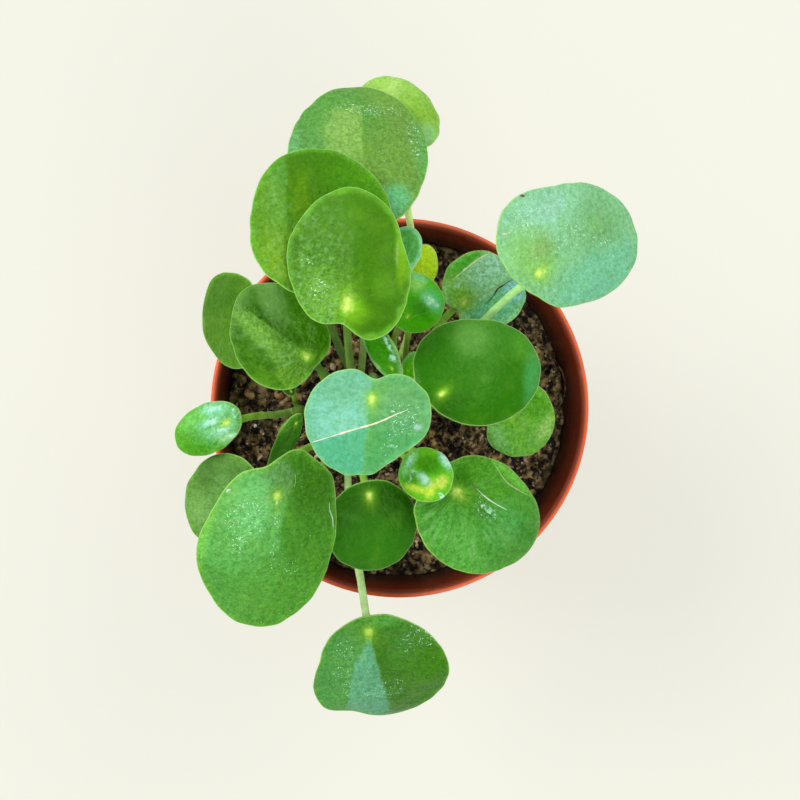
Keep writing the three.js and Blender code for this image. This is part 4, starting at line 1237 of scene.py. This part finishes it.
# Loose bits on the soil: how many, their size range in millimetres, how flat and long they are, how dented,
# and their colours.
looseBits = {
    "peat_crumbs": {
        "count": 2200, "size": (0.5, 2.6), "stretch": (1.0, 0.75, 0.6), "rough": 0.3,
        "rings": 4, "columns": 7,
        "colours": ("#1d130c", "#2a1d13", "#4a3424", "#6b5038", "#8a6c4c", "#221a14", "#b09470",
                    "#d8c4a0"),
    },
    "bark_chips": {
        "count": 190, "size": (2.0, 5.4), "stretch": (1.0, 0.42, 0.2), "rough": 0.16,
        "rings": 5, "columns": 8,
        "colours": ("#5a4028", "#b08a5c", "#d8b888", "#7a5638", "#e8d0a4", "#3a281a", "#c08c60"),
    },
    "grit": {
        "count": 420, "size": (0.4, 1.6), "stretch": (1.0, 0.85, 0.7), "rough": 0.2,
        "rings": 4, "columns": 7,
        "colours": ("#e4d4b8", "#c8b08c", "#f8f0e0", "#b09470", "#e0c8a0", "#fffaf0"),
    },
}
bitsReach = 53.6 * mm  # how far from the pot's axis they lie
pebbles = {
    # middle, and size, in millimetres
    "places": ((-48, 4.5, 3.6), (-44, 6.5, 4.2), (-38.5, 4.5, 3.4), (-50, 9, 2.4), (49, -4, 3.4),
               (42, -28.6, 3.0)),
    "colours": ("#c09464", "#a08468", "#b88c58", "#a4845c", "#b09478", "#8c6c4c"),
    "stretch": (1.0, 0.8, 0.7), "rough": 0.26, "rings": 12, "columns": 18,
}


def soilHeight(places):
    # The soil's level and its mound, a low dome, with clods, lumps and grains on them.
    share = np.hypot(places[..., 0], places[..., 1]) / soilShape["edge"]
    clods = np.abs(ripples(places, soilShape["clodSize"], 70)) * soilShape["clods"]
    lumps = ripples(places, soilShape["lumpSize"], 71) * soilShape["lumps"]
    grain = ripples(places, soilShape["grainSize"], 72) * soilShape["grain"]
    dome = soilShape["mound"] * (1 - share ** 2)
    return soilShape["level"] + dome + (clods + lumps - soilShape["settled"]) + grain


def soilMaterial():
    # Moist peat mix: nearly black crumbs with brown fibres and dusty tops, rough and without gloss.
    material, tree = newMaterial("peat potting mix")
    place = {"Vector": addNode(tree, "TexCoord").outputs["Object"]}
    paint = addNode(tree, "Attribute", {"attribute_name": "paint"})
    clumps = addNode(tree, "TexNoise", {"Scale": 1 / (2.8 * mm), "Detail": 8, "Roughness": 0.62}, place)
    grains = addNode(tree, "TexVoronoi", {"Scale": 1 / (1.3 * mm)}, place)
    share = addNode(tree, "MapRange", {1: 0.42, 2: 0.56, 3: 0.0, 4: 0.96}, {0: clumps})
    colour = addNode(tree, "Mix", {**darkening, 7: toColour("#261e15")}, {0: share, 6: paint})
    pale = addNode(tree, "SeparateColor", {}, {0: grains.outputs["Color"]}).outputs[1]
    chosen = addNode(tree, "MapRange", {1: 0.84, 2: 0.98, 3: 0.0, 4: 0.55}, {0: pale})
    colour = addNode(tree, "Mix", {**covering, 7: toColour("#c0a680")}, {0: chosen, 6: colour})
    rough = addNode(tree, "MapRange", {1: 0.3, 2: 0.7, 3: 0.75, 4: 1.0}, {0: clumps})
    low = addNode(tree, "Bump", {"Strength": 0.8, "Distance": 0.5 * mm}, {"Height": clumps})
    links = {"Height": grains.outputs["Distance"], "Normal": low}
    fine = addNode(tree, "Bump", {"Strength": 0.5, "Distance": 0.2 * mm}, links)
    links = {"Base Color": colour, "Roughness": rough, "Normal": fine}
    shader = addNode(tree, "BsdfPrincipled", {"IOR": 1.4}, links)
    addNode(tree, "OutputMaterial", {}, {"Surface": shader})
    return material


def buildSoil(material):
    # Rings out over the top, down inside the wall and in under the base.
    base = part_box("soil")[0].z
    foot, bevel = soilShape["foot"], soilShape["bevel"]
    turn = np.arange(soilShape["columns"]) * 2 * np.pi / soilShape["columns"]
    circle = np.stack([np.cos(turn), np.sin(turn)], -1)
    shares = (np.arange(soilShape["rings"]) + 1) / soilShape["rings"]
    top = shares[:, None, None] * circle * soilShape["edge"]
    height = soilHeight(top)
    corner = (foot + bevel[0], base + bevel[1])
    side = np.array([*soilShape["shoulder"], corner, (foot, base), (soilShape["core"], base)])
    heights = np.broadcast_to(side[:, 1:, None], (len(side), len(turn), 1))
    under = np.concatenate([side[:, :1, None] * circle, heights], -1)
    grid = np.concatenate([np.concatenate([top, height[..., None]], -1), under])
    centre = np.array([0, 0, soilHeight(np.zeros(2))])
    points = shellPoints(centre, grid, up * base)
    tone = ripples(points[:, :2], 12 * mm, 73) * 0.5 + ripples(points[:, :2], 3 * mm, 74) * 0.5
    paint = mixed(toLinear("#483a24"), toLinear("#a88c58"), np.clip(0.4 + 0.6 * tone, 0, 1))
    # Painted shade and light: darker in the soil's hollows and down its sides, lighter on its raised tops.
    painted_relief_shade = np.clip((points[:, 2] - soilShape["level"]) / mm / 1.8, -1, 1)
    paint = paint * (1 + 0.45 * painted_relief_shade)[:, None]
    makePiece("soil_ball", points, shellFaces(len(grid), len(turn)), material, ["soil"], paint)


def scatter(count, size, seed, edge):
    # Random places on the soil inside a circle, clear of the stems, with sizes mostly near the small end.
    random = np.random.default_rng(seed)
    sizes = (size[0] + (size[1] - size[0]) * random.random(count * 2) ** 2.2) * mm
    radius = np.sqrt(random.random(count * 2)) * (edge - sizes * 0.6)
    angle = random.uniform(0, 2 * np.pi, count * 2)
    places = np.stack([radius * np.cos(angle), radius * np.sin(angle)], -1)
    clear = np.ones(len(places), bool)
    for stem in stemShape:
        middles, girth = readStem(stem)
        clear &= np.linalg.norm(places - middles[len(middles) // 2, :2], axis=1) > girth + sizes * 0.6
    return places[clear][:count], sizes[clear][:count], random


def bitShapes(count, bit, random):
    # Balls squashed to the bit's proportions, dented by a random wave for each, and turned at random.
    polar = ((np.arange(bit["rings"]) + 1) * np.pi / (bit["rings"] + 1))[:, None]
    turn = np.arange(bit["columns"]) * 2 * np.pi / bit["columns"]
    ring = [np.sin(polar) * np.cos(turn), np.sin(polar) * np.sin(turn), np.cos(polar) + 0 * turn]
    ball = shellPoints(up, np.stack(ring, -1), -up)
    directions = random.normal(size=(count, 3, 3)) * 1.6
    phases = random.uniform(0, 2 * np.pi, (count, 3))
    dents = np.sin(np.einsum("pc,nkc->npk", ball, directions) + phases[:, None]).mean(-1)
    shapes = ball * (1 + bit["rough"] * 1.6 * dents)[..., None] * np.array(bit["stretch"]) * 0.5
    heading = random.uniform(0, 2 * np.pi, count)
    tilt = random.normal(0, 0.35, count)
    cosH, sinH, cosT, sinT = np.cos(heading), np.sin(heading), np.cos(tilt), np.sin(tilt)
    zero = 0 * heading
    lean = np.stack([cosT, zero, sinT, zero, zero + 1, zero, -sinT, zero, cosT], -1).reshape(-1, 3, 3)
    spin = np.stack([cosH, -sinH, zero, sinH, cosH, zero, zero, zero, zero + 1], -1).reshape(-1, 3, 3)
    return np.einsum("nij,njk,npk->npi", spin, lean, shapes)


def layBits(name, bit, places, sizes, colours, random, material, sink=0.22):
    # Each bit lies with its lowest point on the soil under it, sunk in by a share of its thickness.
    shapes = bitShapes(len(places), bit, random) * sizes[:, None, None]
    lowest = shapes[..., 2].min(1)
    rest = soilHeight(places) - lowest - sizes * sink * bit["stretch"][2]
    points = shapes + np.concatenate([places, rest[:, None]], -1)[:, None]
    quads, triangles = shellFaces(bit["rings"], bit["columns"])
    first = np.arange(len(places))[:, None, None] * points.shape[1]
    faces = [(quads + first).reshape(-1, 4), (triangles + first).reshape(-1, 3)]
    paint = np.repeat(colours, points.shape[1], axis=0)
    makePiece(name, points.reshape(-1, 3), faces, material, (), paint)


def buildLooseBits(material):
    # Each kind scattered over the soil in colours drawn from its palette, and the few large pebbles.
    for seed, (name, bit) in enumerate(looseBits.items()):
        places, sizes, random = scatter(bit["count"], bit["size"], 80 + seed, bitsReach)
        palette = np.array([toLinear(colour) for colour in bit["colours"]])
        colours = palette[random.integers(0, len(palette), len(places))]
        colours = colours * random.uniform(0.75, 1.2, (len(places), 1))
        layBits(name, bit, places, sizes, colours, random, material)
    random = np.random.default_rng(90)
    stones = np.array(pebbles["places"]) * mm
    colours = np.array([toLinear(colour) for colour in pebbles["colours"]])
    layBits("pebbles", pebbles, stones[:, :2], stones[:, 2], colours, random, material, 0.3)


# Dead roots and fibres, in millimetres: each wanders over the soil, and one longer root stands up against
# the pot's wall.
fibreShape = {
    "count": 70, "length": (6, 22), "radius": (0.08, 0.2), "rows": 14, "columns": 5,
    "startReach": 44, "reach": 53, "endAngle": 0.25,
    "colours": ("#7a5c3c", "#9a7a52", "#4a3422", "#b59a70", "#5d452c"),
    "longRoot": ((46, 21, 82.2), (51.2, 16, 84.6), (54, 10, 87.4), (54.2, 4, 87), (51.6, -2, 83.6),
                 (49.4, -6, 82)),
    "longRadius": 0.24,
}


def buildFibres(material):
    # A line that turns slowly as it goes, laid on the soil and lifted at its middle.
    reach, end = fibreShape["reach"] * mm, fibreShape["endAngle"]
    start = fibreShape["startReach"] * mm
    places, lengths, random = scatter(fibreShape["count"], fibreShape["length"], 95, start)
    count, rows = len(places), fibreShape["rows"]
    steps = np.linspace(-0.5, 0.5, rows)
    bearing = random.uniform(0, 2 * np.pi, (count, 1)) + random.normal(0, 1.6, (count, 1)) * steps
    stride = lengths[:, None, None] / rows * np.stack([np.cos(bearing), np.sin(bearing)], -1)
    back = lengths[:, None, None] / 2 * unit(stride[:, :1])
    lines = places[:, None] + np.cumsum(stride, axis=1) - back
    radius = np.hypot(lines[..., 0], lines[..., 1])
    lines = lines * np.minimum(1, reach / radius)[..., None]
    lift = random.uniform(0.3, 1.6, (count, 1)) * mm * np.cos(steps * np.pi)
    height = np.maximum(soilHeight(lines), soilShape["level"]) + lift
    root = throughPoints(np.array(fibreShape["longRoot"]) * mm, rows)
    lines = np.concatenate([lines, root[None, :, :2]])
    height = np.concatenate([height, root[None, :, 2]])
    girth = np.append(random.uniform(*fibreShape["radius"], count), fibreShape["longRadius"]) * mm
    skins, faces, paints = [], [], []
    palette = [toLinear(colour) for colour in fibreShape["colours"]]
    taper = np.sin(np.linspace(end, np.pi - end, rows))
    for k in range(count + 1):
        path = np.concatenate([lines[k], height[k][:, None]], -1)
        rings = tubeSkin(path, girth[k] * taper, fibreShape["columns"], up)
        skin = shellPoints(path[-1], rings, path[0])
        faces += [face + k * len(skin) for face in shellFaces(rows, fibreShape["columns"])]
        skins.append(skin)
        paints.append(np.broadcast_to(palette[k % len(palette)], skin.shape))
    points, paint = np.concatenate(skins), np.concatenate(paints)
    makePiece("root_fibres", points, faces, material, (), paint)


earthMaterial = soilMaterial()
buildSoil(earthMaterial)
buildLooseBits(earthMaterial)
buildFibres(earthMaterial)
print("soil")


def studioFloor():
    # Cream paper: partly its own light, so the pot's shadow on it stays faint.
    material, tree = newMaterial("cream paper")
    shader = addNode(tree, "BsdfPrincipled", {
        "Base Color": toColour("#84847d"), "Roughness": 0.9, "Specular IOR Level": 0.1,
        "Emission Color": toColour("#f5f4e8"), "Emission Strength": 0.66,
    })
    addNode(tree, "OutputMaterial", {}, {"Surface": shader})
    mesh = bpy.data.meshes.new("floor")
    mesh.from_pydata([(-3, -3, 0), (3, -3, 0), (3, 3, 0), (-3, 3, 0)], [], [(0, 1, 2, 3)])
    mesh.materials.append(material)
    floor = bpy.data.objects.new("floor", mesh)
    bpy.context.scene.collection.objects.link(floor)


def addSun(name, look):
    # A wide soft lamp shining on the pot from its place's direction.
    lamp = bpy.data.lights.new(name, "SUN")
    lamp.angle = np.radians(look["width"])
    lamp.energy = look["strength"]
    lamp.color = look["colour"]
    sun = bpy.data.objects.new(name, lamp)
    sun.rotation_euler = Vector(look["place"]).to_track_quat("Z", "Y").to_euler()
    bpy.context.scene.collection.objects.link(sun)


# Soft lamps, each as wide in the sky as its width in degrees, the faint light from all round, and the
# camera, in metres, degrees and millimetres of lens.
suns = {
    "window": {"place": (-0.95, 0.5, 0.85), "width": 34, "strength": 2.2, "colour": (0.97, 1.0, 1.0)},
    "second window": {"place": (0.6, 0.75, 1.0), "width": 32, "strength": 0.8, "colour": (1.0, 1.0, 0.97)},
    "lamp": {"place": (0.35, -0.8, 1.0), "width": 32, "strength": 0.8, "colour": (1.0, 0.99, 0.95)},
}
surround = {"Color": (0.98, 1.0, 1.0, 1.0), "Strength": 0.6}
cameraLook = {"place": (-0.04243, 0.0025, 0.57617), "tilt": -5, "lens": 68.4}

studioFloor()
for sunName, sunLook in suns.items():
    addSun(sunName, sunLook)
world = bpy.data.worlds.new("studio")
world.use_nodes = True
for title, value in surround.items():
    world.node_tree.nodes["Background"].inputs[title].default_value = value
bpy.context.scene.world = world
bpy.context.scene.view_settings.view_transform = "Standard"

lens = bpy.data.cameras.new("camera")
lens.lens = cameraLook["lens"]
camera = bpy.data.objects.new("camera", lens)
camera.location = cameraLook["place"]
camera.rotation_euler = (0, np.radians(cameraLook["tilt"]), 0)
bpy.context.scene.collection.objects.link(camera)
bpy.context.scene.camera = camera
print("studio")
